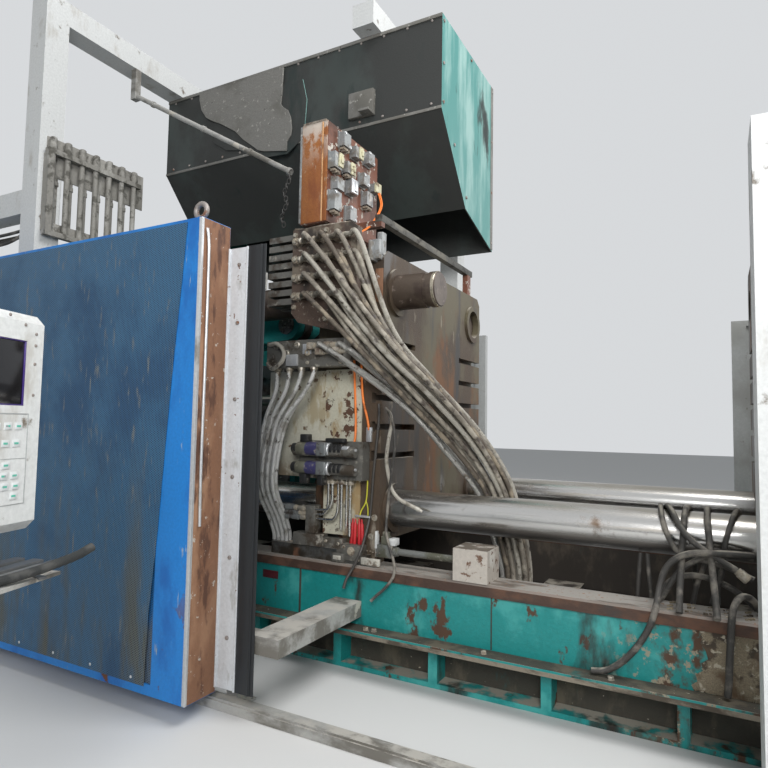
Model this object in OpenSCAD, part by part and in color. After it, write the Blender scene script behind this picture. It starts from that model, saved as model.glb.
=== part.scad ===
// Cold-chamber die casting machine with an inward-folding double toggle.
// X runs along the machine to the injection side, Y points away from the operator,
// Z is up. The origin is on the floor, on the centre line under the fixed platen's face.

/* [Tie bars] */
// Diameter of the four tie bars
bar_d = 250; // [230:5:270]
// Distance between tie bar axes, sideways and upwards
bar_pitch = 1530; // [1500:10:1560]
// Space between the running face of the rails and the platens
under_platen = 150; // [140:5:175]
// Radial gap between a bar and its bush
bush_gap = 0.3; // [0.2:0.1:0.5]
// How far the near upper bar stands out of the moving platen
stub_near = 340; // [280:10:400]
// How much further back the far upper bar is drawn
stub_setback = 370; // [350:10:400]
// Length of an upper tie bar
bar_len = 5350; // [5300:10:5400]

/* [Platens] */
// Distance from a tie bar's axis to the platen's edge
platen_margin = 210; // [200:5:220]
// Thickness of the fixed platen
fixed_t = 480; // [440:10:520]
// Thickness of the moving platen's front slab
moving_front_t = 290; // [270:10:310]
// Thickness of the moving platen's rear slab
moving_rear_t = 250; // [230:10:270]
// Thickness of the rear platen
rear_t = 480; // [440:10:520]
// Opening between fixed and moving platen at rest
daylight = 2250; // [2200:10:2300]
// Corner bevel of the platens
platen_bevel = 60; // [40:5:80]
// How much more the platens reach over the upper bars than under the lower ones
platen_head = 60; // [50:5:70]
// Pitch of the die clamping slots
slot_pitch = 200; // [190:5:210]
// Neck width of a die clamping slot
slot_neck = 42; // [36:1:48]
// Length of a die clamping slot from the platen's edge
slot_len = 525; // [480:5:560]

/* [Toggle] */
// Length of a rear link between its pivots
rear_link_len = 520; // [518:1:522]
// Length of a front link between its pivots
front_link_len = 800; // [796:1:804]
// Distance between rear and front pivot at rest
open_gap = 427; // [425:1:429]
// Height of the outer pivots over the machine axis
pivot_rise = 640; // [636:1:644]
// Distance along the rear link to the drive link's pivot
drive_at = 430; // [428:1:432]
// Length of a drive link between its pivots
drive_link_len = 350; // [348:1:352]
// Height of the crosshead pivots over the machine axis
cross_rise = 260; // [258:1:262]
// Diameter of the outer pivot pins
pin_d = 160; // [150:2:166]
// Diameter of the knee pins
knee_pin_d = 130; // [120:2:136]
// Diameter of the drive link pins
drive_pin_d = 90; // [84:2:96]
// Radius of the outer link eyes
eye_r = 130; // [124:1:132]
// Radius of the knee eyes
knee_eye_r = 105; // [100:1:108]
// Half width of the links between their eyes
link_half = 88; // [80:1:92]
// Distance from the rear platen's face to the rear pivots
rear_pivot_out = 660; // [650:5:670]
// Distance from the moving platen's back to the front pivots
front_pivot_out = 200; // [190:5:210]
// Inner and outer face of the inner rear lugs and of the front links
front_link_y = [235, 335];
// Inner and outer face of the rear links
rear_link_y = [345, 445];
// Inner and outer face of the drive links
drive_link_y = [455, 505];
// Outer rear lugs
outer_lug_y = [456, 540];
// Inner lugs of the moving platen
inner_lug_y = [120, 225];
// Diameter of the crosshead guide rods
guide_rod_d = 90; // [80:5:100]
// Distance of a guide rod from the centre line
guide_rod_y = 620; // [610:5:640]
// Diameter of the closing rod
closing_rod_d = 140; // [130:5:150]

/* [Bed] */
// Outer plane of the guide rails, from the centre line
bed_out = 1095; // [1080:5:1110]
// Width of a guide rail
rail_w = 240; // [235:5:245]
// Height of the rail's running face
rail_top = 680; // [675:5:690]
// Height of a guide rail
rail_h = 70; // [64:1:76]
// Underside of the girder's web
web_low = 300; // [290:5:310]
// Closing end of the bed
bed_x0 = -4900; // [-4950:10:-4850]
// Injection end of the bed
bed_x1 = 700; // [680:10:760]

/* [Guard] */
// Outer plane of the sliding door, from the centre line
door_y = 2200; // [2190:5:2210]
// Depth of the door's end post
door_depth = 225; // [215:5:230]
// Leading edge of the door at rest
door_x1 = -2735; // [-2745:5:-2730]
// Length of the door
door_len = 2965; // [2940:5:2990]
// Top of the door
door_top = 2760; // [2740:5:2780]
// Bottom of the door
door_low = 110; // [90:5:130]
// Length of the top guide rail
guide_len = 3180; // [3160:5:3200]

/* [Injection unit] */
// How far the shot axis lies under the machine axis
shot_drop = 200; // [180:10:220]
// Distance of the injection plate from the fixed platen
shot_span = 1500; // [1450:10:1550]
// Length of the shot cylinder
shot_len = 1350; // [1300:10:1400]

/* [Fume hood] */
// Closing end of the hood
hood_x0 = -5150; // [-5200:10:-5100]
// Die end of the hood
hood_x1 = -2100; // [-2120:10:-2080]
// Top of the hood
hood_top = 4900; // [4850:10:4950]

/* [Hidden] */
// Setback of the moving platen's feet from its die face
foot_back = 20;
$fn = 64;

// Running gap at a pin or a sliding face
fit = 0.3;
bar_y = bar_pitch / 2;
half_w = bar_y + platen_margin;
platen_low = rail_top + under_platen;
axis_z = platen_low + half_w;
bar_z_low = axis_z - bar_y;
bar_z_high = axis_z + bar_y;
platen_high = axis_z + half_w + platen_head;
bush_d = bar_d + 2 * bush_gap;

// Stations along the machine
moving_face = -daylight;
moving_seam = moving_face - moving_front_t;
moving_back = moving_seam - moving_rear_t;
front_pivot = moving_back - front_pivot_out;
rear_pivot = front_pivot - open_gap;
rear_face = rear_pivot - rear_pivot_out;
rear_back = rear_face - rear_t;
nut_len = 300;
nut_d = 420;
front_nut_len = 220;

// Toggle angles at rest by the law of cosines
rear_angle = acos((pow(rear_link_len, 2) + pow(open_gap, 2) - pow(front_link_len, 2))
    / (2 * rear_link_len * open_gap));
front_angle = asin(rear_link_len * sin(rear_angle) / front_link_len);
knee = [rear_pivot + rear_link_len * cos(rear_angle),
    pivot_rise - rear_link_len * sin(rear_angle)];
drive_pin = [rear_pivot + drive_at * cos(rear_angle),
    pivot_rise - drive_at * sin(rear_angle)];
cross_x = drive_pin[0] - sqrt(pow(drive_link_len, 2) - pow(drive_pin[1] - cross_rise, 2));
drive_angle = atan2(drive_pin[1] - cross_rise, drive_pin[0] - cross_x);
cross_half = 100;
cross_low = 150;
cross_reach = guide_rod_y + 60;

// Bed
rail_in = bed_out - rail_w;
rail_low = rail_top - rail_h;
shoe_gap = 0.3;
shoe_in = rail_in + 6;
shoe_top = rail_top + 85;
cross_member_w = 300;
cross_member_pitch = 1400;
cross_member_h = 300;
anchor_x = [-4200, 0];
anchor_y = 1000;
anchor_r = 17;

// Oil tank under the closing cylinder
tank_len = 1800;
tank_top = 910;

// Guard
seal_y = door_y - door_depth;
door_x0 = door_x1 - door_len;
track_y = [seal_y - 125, seal_y - 25];
track_z = [0, 60];
beam_z = [355, 455];
beam_w = 130;
guide_z = [2400, 2500];
guard_end = -115;
door_mid_z = 1380;
rear_guard_y = track_y[1] - 5;
rear_panel = 1590;
rear_guard_x = [door_x0, door_x0 + rear_panel, door_x0 + 2 * rear_panel];

// Columns of the fume hood
hood_post = 200;
hood_post_x = [hood_x0 + 100, -2750];
hood_post_y = [-(track_y[0] - 150), 1500];

// Shot axis
shot_z = axis_z - shot_drop;
sleeve_d = 260;
shot_x = fixed_t + shot_span;
plate_t = 200;
injection_rod_d = 150;
injection_rod_y = 380;
injection_rod_z = 330;

module along_x(d, x0, x1, y = 0, z = 0) {
    translate([x0, y, z]) rotate([0, 90, 0]) cylinder(h = x1 - x0, d = d);
}

module along_y(d, y0, y1, x = 0, z = 0) {
    translate([x, y1, z]) rotate([90, 0, 0]) cylinder(h = y1 - y0, d = d);
}

module block(x0, x1, y0, y1, z0, z1) {
    translate([x0, y0, z0]) cube([x1 - x0, y1 - y0, z1 - z0]);
}

// A profile drawn across the machine, carried along X
module along_machine(x0, x1) {
    translate([x0, 0, 0]) rotate([90, 0, 90]) linear_extrude(x1 - x0) children();
}

// A profile drawn in side view, carried across the machine
module across_machine(y0, y1) {
    translate([0, y1, 0]) rotate([90, 0, 0]) linear_extrude(y1 - y0) children();
}

module both_sides() {
    children();
    mirror([0, 1, 0]) children();
}

// Copies a piece of the upper toggle to the lower one
module mirror_down() {
    translate([0, 0, 2 * axis_z]) mirror([0, 0, 1]) children();
}

module up_and_down() {
    children();
    mirror_down() children();
}

// Bed

module girder_solid() {
    foot_out = bed_out - 35;
    skirt_out = bed_out - 165;
    skirt_in = rail_in + 15;
    flange_out = bed_out + 100;
    flange_h = 35;
    sole_h = 30;
    post_w = 60;
    post_pitch = 700;
    along_machine(bed_x0, bed_x1) polygon([
        [-rail_in, rail_low], [-(bed_out - 20), rail_low], [-(bed_out - 20), web_low],
        [-flange_out, web_low], [-flange_out, web_low - flange_h],
        [-skirt_out, web_low - flange_h], [-skirt_out, sole_h], [-foot_out, sole_h],
        [-foot_out, 0], [-rail_in, 0], [-rail_in, sole_h], [-skirt_in, sole_h],
        [-skirt_in, web_low - flange_h], [-rail_in, web_low - flange_h]]);
    for (x = [bed_x0 + 260 : post_pitch : bed_x1 - 200])
        block(x, x + post_w, -foot_out, -skirt_out, sole_h, web_low - flange_h);
}

// Holes for the floor anchors in the sole plate
module girder() {
    difference() {
        girder_solid();
        for (x = anchor_x) translate([x, -anchor_y, -1]) cylinder(h = 62, r = anchor_r);
    }
}

module bed_sides() {
    color("teal") both_sides() girder();
}

module bed_cross_members() {
    middles = concat([for (i = [0 : 3]) -i * cross_member_pitch], bed_x0 + cross_member_w / 2);
    color("teal") for (x = middles)
        block(x - cross_member_w / 2, x + cross_member_w / 2, -rail_in, rail_in,
            0, cross_member_h);
}

module guide_rail() {
    lip = 12;
    along_machine(bed_x0, bed_x1) polygon([
        [-rail_in, rail_low], [-bed_out, rail_low], [-bed_out, rail_top - lip],
        [-bed_out + lip, rail_top], [-rail_in - lip, rail_top], [-rail_in, rail_top - lip]]);
}

module guide_rails() {
    color("saddlebrown") both_sides() guide_rail();
}

// Platens

module platen_outline(w) {
    b = platen_bevel;
    head = w + platen_head;
    polygon([[-w + b, -w], [w - b, -w], [w, -w + b], [w, head - b],
        [w - b, head], [-w + b, head], [-w, head - b], [-w, -w + b]]);
}

module platen_slab(x0, x1, w) {
    translate([0, 0, axis_z]) along_machine(x0, x1) platen_outline(w);
}

module bar_bores(x0, x1, d) {
    for (y = [-bar_y, bar_y], z = [bar_z_low, bar_z_high])
        along_x(d, x0, x1, y, z);
}

// One T-slot running in from the platen's edge, open to the die face
module die_slot(face, inward, z) {
    neck_depth = 45;
    tee_h = 72;
    tee_t = 32;
    across_machine(half_w - slot_len, half_w + 1) polygon([
        [face - inward, z - slot_neck / 2], [face + inward * neck_depth, z - slot_neck / 2],
        [face + inward * neck_depth, z - tee_h / 2],
        [face + inward * (neck_depth + tee_t), z - tee_h / 2],
        [face + inward * (neck_depth + tee_t), z + tee_h / 2],
        [face + inward * neck_depth, z + tee_h / 2],
        [face + inward * neck_depth, z + slot_neck / 2],
        [face - inward, z + slot_neck / 2]]);
}

module die_slots(face, inward) {
    for (i = [-2 : 2]) both_sides() die_slot(face, inward, axis_z + i * slot_pitch);
}

module platen_foot(x0, x1) {
    both_sides() block(x0, x1, -(rail_in + 150), -(rail_in - 155), rail_top, platen_low + 20);
}

module fixed_platen() {
    color("sienna") difference() {
        union() {
            platen_slab(0, fixed_t, half_w);
            platen_foot(0, fixed_t);
        }
        bar_bores(-1, fixed_t + 1, bush_d);
        along_x(sleeve_d + 0.4, -1, fixed_t + 1, 0, shot_z);
        die_slots(0, 1);
    }
}

// Side view of a clevis lug that reaches from a platen to a pivot
module lug_outline(base_x, pivot_x, base_half, r) {
    difference() {
        union() {
            polygon([[base_x, pivot_rise - base_half], [pivot_x, pivot_rise - r * 0.98],
                [pivot_x, pivot_rise + r * 0.98], [base_x, pivot_rise + base_half]]);
            translate([pivot_x, pivot_rise]) circle(r = r);
        }
        translate([pivot_x, pivot_rise]) circle(d = pin_d + 2 * fit);
    }
}

module rear_platen() {
    color("teal") difference() {
        union() {
            platen_slab(rear_back, rear_face, half_w);
            platen_foot(rear_back, rear_face);
            both_sides() up_and_down() translate([0, 0, axis_z]) {
                across_machine(front_link_y[0], front_link_y[1])
                    lug_outline(rear_face - 10, rear_pivot, 185, eye_r);
                across_machine(outer_lug_y[0], outer_lug_y[1])
                    lug_outline(rear_face - 10, rear_pivot, 185, eye_r);
            }
        }
        bar_bores(rear_back - 1, rear_face + 1, bush_d);
        along_x(closing_rod_d + 20, rear_back - 1, rear_face + 1, 0, axis_z);
    }
}

module moving_platen() {
    collar_t = 22;
    collar_d = 340;
    color("sienna") difference() {
        union() {
            platen_slab(moving_seam, moving_face, half_w);
            platen_slab(moving_back, moving_seam + 1, half_w - 22);
            bar_bores(moving_face - 1, moving_face + collar_t, collar_d);
            both_sides() block(moving_seam, moving_face - foot_back, -half_w, -shoe_in,
                rail_top + shoe_gap, platen_low + platen_bevel + 1);
            both_sides() up_and_down() translate([0, 0, axis_z]) {
                across_machine(inner_lug_y[0], inner_lug_y[1])
                    lug_outline(moving_back + 10, front_pivot, 190, eye_r);
                across_machine(rear_link_y[0], rear_link_y[1] - 15)
                    lug_outline(moving_back + 10, front_pivot, 190, eye_r);
            }
        }
        bar_bores(moving_back - 1, moving_face + collar_t + 1, bush_d);
        along_x(120, moving_back - 1, moving_face + 1, 0, axis_z);
        die_slots(moving_face, -1);
    }
}

module platen_shoes() {
    shoe_out = bed_out - 45;
    color("dimgray") both_sides() {
        block(moving_back - 310, moving_seam, -shoe_out, -shoe_in,
            rail_top + shoe_gap, shoe_top);
        block(moving_back + 40, moving_seam, -half_w + platen_bevel, -shoe_in,
            shoe_top, platen_low);
        block(moving_seam - 1, moving_face - 60, -shoe_out, -half_w,
            rail_top + shoe_gap, rail_top + 60);
    }
}

// Tie bars and nuts

module plain_bar(x0, x1) {
    chamfer = 10;
    translate([x0, 0, 0]) rotate([0, 90, 0]) rotate_extrude() polygon([
        [0, 0], [bar_d / 2 - chamfer, 0], [bar_d / 2, chamfer],
        [bar_d / 2, x1 - x0 - chamfer], [bar_d / 2 - chamfer, x1 - x0], [0, x1 - x0]]);
}

module lower_tie_bars() {
    rear_thread = 120;
    front_thread = 60;
    color("silver") for (y = [-bar_y, bar_y]) translate([0, y, bar_z_low])
        plain_bar(rear_back - nut_len - rear_thread, fixed_t + front_nut_len + front_thread);
}

// An upper bar with the locking groove behind its nose
module drawn_bar(nose_x) {
    groove_at = 62;
    groove_w = 34;
    groove_depth = 9;
    r = bar_d / 2;
    difference() {
        plain_bar(nose_x - bar_len, nose_x);
        translate([nose_x - groove_at - groove_w, 0, 0]) rotate([0, 90, 0]) difference() {
            cylinder(h = groove_w, r = r + 5);
            translate([0, 0, -1]) cylinder(h = groove_w + 2, r = r - groove_depth);
        }
    }
}

module upper_tie_bar_front() {
    color("saddlebrown") translate([0, -bar_y, bar_z_high]) drawn_bar(moving_face + stub_near);
}

module upper_tie_bar_rear() {
    color("saddlebrown") translate([0, bar_y, bar_z_high])
        drawn_bar(moving_face + stub_near - stub_setback);
}

// Round nuts below, locking blocks for the drawn bars above
module front_nuts() {
    lock = 230;
    color("slategray") difference() {
        union() {
            for (y = [-bar_y, bar_y]) {
                along_x(nut_d, fixed_t, fixed_t + front_nut_len, y, bar_z_low);
                block(fixed_t, fixed_t + front_nut_len, y - lock, y + lock,
                    bar_z_high - lock, bar_z_high + lock - 30);
            }
        }
        bar_bores(fixed_t - 1, fixed_t + front_nut_len + 1, bush_d);
    }
}

module adjusting_nuts() {
    ring_d = 520;
    ring_t = 90;
    color("slategray") difference() {
        union() {
            bar_bores(rear_back - nut_len, rear_back, nut_d);
            bar_bores(rear_back - 40 - ring_t, rear_back - 40, ring_d);
        }
        bar_bores(rear_back - nut_len - 1, rear_back + 1, bush_d);
    }
}

module bar_supports() {
    column = 160;
    base = 360;
    support_x = rear_back - 1500;
    roller_d = 140;
    roller_z = bar_z_high - bar_d / 2 - fit - roller_d / 2;
    color("teal") for (y = [-bar_y, bar_y]) {
        block(support_x - base / 2, support_x + base / 2, y - base / 2, y + base / 2, 0, 30);
        difference() {
            block(support_x - column / 2, support_x + column / 2,
                y - column / 2, y + column / 2, 30, roller_z + 40);
            block(support_x - column, support_x + column, y - 60, y + 60,
                roller_z - roller_d / 2 - 15, roller_z + 60);
        }
        along_y(40, y - column / 2 + 1, y + column / 2 - 1, support_x, roller_z);
        along_y(roller_d, y - 58, y + 58, support_x, roller_z);
    }
}

// Toggle

module link_outline(len, r0, r1, half) {
    circle(r = r0);
    translate([len, 0]) circle(r = r1);
    translate([0, -half]) square([len, 2 * half]);
}

module rear_link() {
    knee_in = front_link_y[1] + fit;
    cap_d = 2 * (rear_link_len - drive_at - drive_pin_d / 2 - 5);
    cap_h = 8;
    translate([rear_pivot, 0, axis_z + pivot_rise]) rotate([0, rear_angle, 0]) {
        both_sides() {
            across_machine(rear_link_y[0], rear_link_y[1])
                link_outline(rear_link_len, eye_r, knee_eye_r, link_half);
            along_y(knee_pin_d, knee_in, rear_link_y[0] + 1, rear_link_len, 0);
            along_y(cap_d, rear_link_y[1] - 1, rear_link_y[1] + cap_h, rear_link_len, 0);
        }
        along_y(pin_d, -outer_lug_y[1], outer_lug_y[1], 0, 0);
    }
}

module rear_link_upper() {
    color("darkolivegreen") rear_link();
}

module rear_link_lower() {
    color("darkolivegreen") mirror_down() rear_link();
}

// Two plates joined by a web, with the knee pin between them
module front_link() {
    web_from = 250;
    web_to = 640;
    web_half = 32;
    translate([front_pivot, 0, axis_z + pivot_rise]) rotate([0, 180 - front_angle, 0]) {
        both_sides() {
            across_machine(front_link_y[0], front_link_y[1])
                link_outline(front_link_len, eye_r, knee_eye_r, link_half);
            along_y(pin_d, inner_lug_y[0] - 5, front_link_y[0] + 1, 0, 0);
            along_y(pin_d, front_link_y[1] - 1, rear_link_y[1] - 10, 0, 0);
        }
        block(front_link_len - web_to, front_link_len - web_from,
            -front_link_y[0] - 1, front_link_y[0] + 1, -web_half, web_half);
        along_y(knee_pin_d, -front_link_y[0] - 1, front_link_y[0] + 1, front_link_len, 0);
    }
}

module front_link_upper() {
    color("olivedrab") front_link();
}

module front_link_lower() {
    color("olivedrab") mirror_down() front_link();
}

module ear_outline() {
    ear_r = 85;
    difference() {
        union() {
            translate([cross_x, cross_rise]) circle(r = ear_r);
            translate([cross_x - ear_r, cross_low - 10]) square([2 * ear_r, cross_rise - cross_low + 10]);
        }
        translate([cross_x, cross_rise]) circle(d = drive_pin_d + 2 * fit);
    }
}

module crosshead() {
    ear_inner = [drive_link_y[0] - 60, drive_link_y[0] - 8];
    ear_outer = [drive_link_y[1] + 5, drive_link_y[1] + 55];
    piston_d = 279.4;
    rod_end = rear_back - 1240;
    color("gray") {
        difference() {
            union() {
                block(cross_x - cross_half, cross_x + cross_half, -cross_reach, cross_reach,
                    axis_z - cross_low, axis_z + cross_low);
                both_sides() up_and_down() translate([0, 0, axis_z]) {
                    across_machine(ear_inner[0], ear_inner[1]) ear_outline();
                    across_machine(ear_outer[0], ear_outer[1]) ear_outline();
                }
            }
            both_sides() along_x(guide_rod_d + 2 * fit, cross_x - 200, cross_x + 200,
                guide_rod_y, axis_z);
        }
        along_x(closing_rod_d, rod_end, cross_x - cross_half + 1, 0, axis_z);
        along_x(piston_d, rod_end, rod_end + 100, 0, axis_z);
    }
}

module drive_link() {
    translate([cross_x, 0, axis_z + cross_rise]) rotate([0, -drive_angle, 0]) both_sides() {
        across_machine(drive_link_y[0], drive_link_y[1])
            link_outline(drive_link_len, 78, 72, 52);
        along_y(drive_pin_d, drive_link_y[0] - 62, drive_link_y[0] + 1, 0, 0);
        along_y(drive_pin_d, drive_link_y[1] - 1, drive_link_y[1] + 60, 0, 0);
        along_y(drive_pin_d, rear_link_y[1] + fit, drive_link_y[0] + 1, drive_link_len, 0);
    }
}

module drive_link_upper() {
    color("darkgoldenrod") drive_link();
}

module drive_link_lower() {
    color("darkgoldenrod") mirror_down() drive_link();
}

module crosshead_guide_rods() {
    rod_out = 1180;
    color("silver") both_sides()
        along_x(guide_rod_d, rear_face, rear_face + rod_out, guide_rod_y, axis_z);
}

module closing_cylinder() {
    flange_d = 560;
    flange_t = 60;
    barrel_d = 420;
    bore_d = 280;
    head_t = 110;
    barrel_len = 1400;
    cap_d = 460;
    cap_t = 130;
    color("slategray") translate([rear_back, 0, axis_z]) rotate([0, -90, 0]) difference() {
        union() {
            cylinder(h = flange_t, d = flange_d);
            cylinder(h = barrel_len, d = barrel_d);
            translate([0, 0, barrel_len - cap_t]) cylinder(h = cap_t, d = cap_d);
        }
        translate([0, 0, -1]) cylinder(h = head_t + 2, d = closing_rod_d + 2 * fit);
        translate([0, 0, head_t]) cylinder(h = barrel_len - head_t - 100, d = bore_d);
    }
}

module ejector() {
    color("slategray") {
        along_x(210, moving_back - 620, moving_back, 0, axis_z);
        along_x(230, moving_back - 40, moving_back, 0, axis_z);
        along_x(232, moving_back - 620, moving_back - 560, 0, axis_z);
    }
}

// Injection unit

module shot_sleeve() {
    bore_d = 160;
    sleeve_out = 620;
    sleeve_in = 20;
    color("slategray") difference() {
        union() {
            along_x(sleeve_d, -sleeve_in, fixed_t + sleeve_out, 0, shot_z);
            along_x(sleeve_d + 60, fixed_t, fixed_t + 50, 0, shot_z);
        }
        along_x(bore_d, -sleeve_in - 1, fixed_t + sleeve_out + 1, 0, shot_z);
        block(fixed_t + sleeve_out - 300, fixed_t + sleeve_out - 80, -60, 60,
            shot_z, shot_z + sleeve_d);
    }
}

module plunger_rod() {
    tip_d = 159;
    tip_x = fixed_t + 550;
    color("silver") {
        along_x(tip_d, tip_x, tip_x + 90, 0, shot_z);
        along_x(110, tip_x + 89, shot_x - 320, 0, shot_z);
        along_x(200, shot_x - 321, shot_x - 180, 0, shot_z);
        along_x(130, shot_x - 181, shot_x, 0, shot_z);
    }
}

module injection_rods() {
    color("silver") both_sides() for (z = [-injection_rod_z, injection_rod_z]) {
        along_x(injection_rod_d, fixed_t, shot_x, injection_rod_y, shot_z + z);
        along_x(injection_rod_d + 80, fixed_t, fixed_t + 70, injection_rod_y, shot_z + z);
    }
}

module injection_plate() {
    half_y = 500;
    half_z = 450;
    color("teal") difference() {
        block(shot_x, shot_x + plate_t, -half_y, half_y, shot_z - half_z, shot_z + half_z);
        along_x(131, shot_x - 1, shot_x + plate_t + 1, 0, shot_z);
    }
}

module shot_cylinder() {
    x = shot_x + plate_t;
    color("slategray") {
        along_x(420, x, x + 80, 0, shot_z);
        along_x(320, x + 79, x + shot_len, 0, shot_z);
        along_x(400, x + shot_len - 1, x + shot_len + 140, 0, shot_z);
        block(x + 250, x + 620, -150, 150, shot_z + 140, shot_z + 330);
    }
}

module accumulators() {
    bottle_d = 360;
    bottle_h = 1500;
    x = shot_x + plate_t + 760;
    color("steelblue") both_sides() {
        translate([x, 430, 1050]) {
            cylinder(h = bottle_h, d = bottle_d);
            translate([0, 0, bottle_h - 1]) cylinder(h = 80, d1 = bottle_d, d2 = 180);
            translate([0, 0, bottle_h + 78]) cylinder(h = 90, d = 110);
        }
    }
}

module injection_base() {
    x0 = shot_x - 150;
    x1 = shot_x + plate_t + shot_len + 140;
    color("teal") {
        block(x0, x1, -640, 640, 0, 60);
        block(x0 + 60, x1 - 60, -590, 590, 60, 990);
        block(x0, x1, -640, 640, 990, 1050);
        block(shot_x, shot_x + plate_t, -400, 400, 1050, shot_z - 450);
    }
}

module oil_tank() {
    leg_h = 60;
    color("teal") {
        block(bed_x0 - tank_len, bed_x0, -560, 560, leg_h, tank_top - 30);
        block(bed_x0 - tank_len - 20, bed_x0, -580, 580, tank_top - 30, tank_top);
        for (x = [tank_len - 60, tank_len / 2, 160]) both_sides()
            block(bed_x0 - x, bed_x0 - x + 100, -520, -420, 0, leg_h);
    }
}

module pump_motors() {
    motor_x = bed_x0 - tank_len + 200;
    motor_z = tank_top + 210;
    color("steelblue") both_sides() {
        along_x(380, motor_x, motor_x + 620, 280, motor_z);
        along_x(230, motor_x + 619, motor_x + 800, 280, motor_z);
        along_x(190, motor_x + 799, motor_x + 1150, 280, motor_z);
        block(motor_x + 50, motor_x + 550, 140, 420, tank_top, tank_top + 50);
        block(motor_x + 830, motor_x + 1100, 200, 360, tank_top, tank_top + 130);
    }
}

// Guard

module door_track() {
    rib = 12;
    color("gray") {
        block(door_x0 - 120, -160, -track_y[1], -track_y[0], track_z[0], track_z[1] - rib);
        block(door_x0 - 120, -160, -track_y[1] + 10, -track_y[0] - 30, track_z[0], track_z[1]);
        block(door_x0 - 30, door_x0 - 30 + guide_len, -track_y[1], -track_y[0],
            guide_z[0], guide_z[1]);
    }
}

// A beam from the bed's girder out to a guard
module guard_beam(x, y, w = beam_w) {
    block(x - w / 2, x + w / 2, -y, -(bed_out - 20), beam_z[0], beam_z[1]);
}

module track_beams() {
    last_x = door_x1 + 315;
    last_w = 200;
    tank_beam_x = bed_x0 + 250;
    middle_x = bed_x0 + 1200;
    seam_x = rear_guard_x[2] - 40;
    color("lightgray") {
        guard_beam(last_x, track_y[1], last_w);
        for (x = [tank_beam_x, middle_x]) guard_beam(x, track_y[0] + 1);
        block(door_x0 - 30, last_x - last_w / 2 + 1, -track_y[1], -track_y[0],
            beam_z[0], beam_z[1]);
        guard_beam(guard_end + 315, track_y[1]);
        mirror([0, 1, 0]) for (x = [tank_beam_x, seam_x, guard_end + 115])
            guard_beam(x, rear_guard_y);
    }
}

module guard_posts() {
    post = 80;
    foot = 40;
    foot_h = 12;
    posts_x = [door_x0 + 20, (door_x0 + door_x1) / 2, door_x1 - 25];
    color("gray") for (x = posts_x) {
        block(x, x + post, -track_y[0], -track_y[0] + post, foot_h, guide_z[0] + 40);
        block(x - foot, x + post + foot, -track_y[0], -track_y[0] + post + foot, 0, foot_h);
    }
}

module door_frame() {
    tube = 60;
    color("dodgerblue") {
        difference() {
            block(door_x0, door_x1, -door_y, -seal_y, door_low, door_top);
            block(door_x0 + tube, door_x1 - 4, -door_y + tube, -seal_y + 1,
                door_low + tube, door_top - tube);
            block(door_x0 + tube, door_x1 - 260, -door_y - 1, -seal_y + 1,
                door_low + tube, door_top - tube);
        }
        for (z = [door_mid_z, guide_z[1] - 80])
            block(door_x0 + tube - 1, door_x1 - 3, -seal_y - 40, -seal_y, z, z + 110);
        translate([door_x1 - 70, -door_y + 60, door_top - 1]) cylinder(h = 22, d = 40);
        translate([door_x1 - 70, -door_y + 60, door_top + 60]) rotate([90, 0, 0])
            rotate_extrude() translate([38, 0]) circle(d = 20);
    }
}

module door_sheet() {
    tube = 60;
    color("deepskyblue") block(door_x0 + tube, door_x1 - 260, -door_y + 10, -door_y + 14,
        door_low + tube, door_top - tube);
}

module door_seal() {
    strip_top = 2632;
    color("white") block(door_x1 - 60, door_x1 + 147, -seal_y, -seal_y + 5, 140, strip_top);
    color("black") block(door_x1 + 147, door_x1 + 273, -seal_y - 6, -seal_y + 6, 140, strip_top);
}

module door_rollers() {
    wheel_d = 100;
    wheel_y = [track_y[0] + 40, track_y[1] - 20];
    hook_t = 20;
    hook_y = -track_y[0] + fit;
    color("dimgray") {
        for (x = [door_x0 + 300, door_x1 - 400]) {
            along_y(wheel_d, -wheel_y[1], -wheel_y[0], x, track_z[1] + fit + wheel_d / 2);
            along_y(30, -seal_y, -wheel_y[1] + 1, x, track_z[1] + fit + wheel_d / 2);
            block(x - 60, x + 60, -seal_y, -seal_y + 10, track_z[1] + 20, track_z[1] + 110);
        }
        for (x = [door_x0 + 150, door_x0 + 550]) {
            block(x, x + 60, -seal_y, hook_y + hook_t, guide_z[1] + fit, guide_z[1] + hook_t);
            block(x, x + 60, -seal_y, -track_y[1] - fit, guide_z[1] - 60, guide_z[1] + fit + 1);
            block(x, x + 60, hook_y, hook_y + hook_t, guide_z[1] - 45, guide_z[1] + fit + 1);
        }
    }
}

module guard_panel(x0, x1, y0, z0, z1) {
    tube = 50;
    difference() {
        block(x0, x1, y0, y0 + tube, z0, z1);
        block(x0 + tube, x1 - tube, y0 - 1, y0 + 22, z0 + tube, z1 - tube);
        block(x0 + tube, x1 - tube, y0 + 26, y0 + tube + 1, z0 + tube, z1 - tube);
    }
}

module fixed_guard_front() {
    top = 2730;
    post = 70;
    far_x = guard_end + 1415;
    bracket_x = guard_end + 380;
    color("white") {
        guard_panel(guard_end + post, far_x, -door_y, door_low, top);
        block(guard_end, guard_end + post, -door_y, -track_y[1], 0, top);
        block(guard_end + post - 1, bracket_x, -door_y + 49, -track_y[1], beam_z[0], beam_z[1]);
        block(far_x, far_x + 80, -door_y, -door_y + 80, 0, top);
    }
}

module rear_guard() {
    y = rear_guard_y;
    top = 2650;
    post = 70;
    right_x = [guard_end + 15, guard_end + 1415];
    color("lightgray") {
        for (x = rear_guard_x) block(x - post, x, y, y + post, 0, top);
        for (i = [0, 1]) guard_panel(rear_guard_x[i], rear_guard_x[i + 1] - post, y, door_low, top);
        for (x = right_x) block(x, x + post, y, y + post, 0, top);
        guard_panel(right_x[0] + post, right_x[1], y, door_low, top);
    }
}

// Operator's panel, turned to face the injection side

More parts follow.
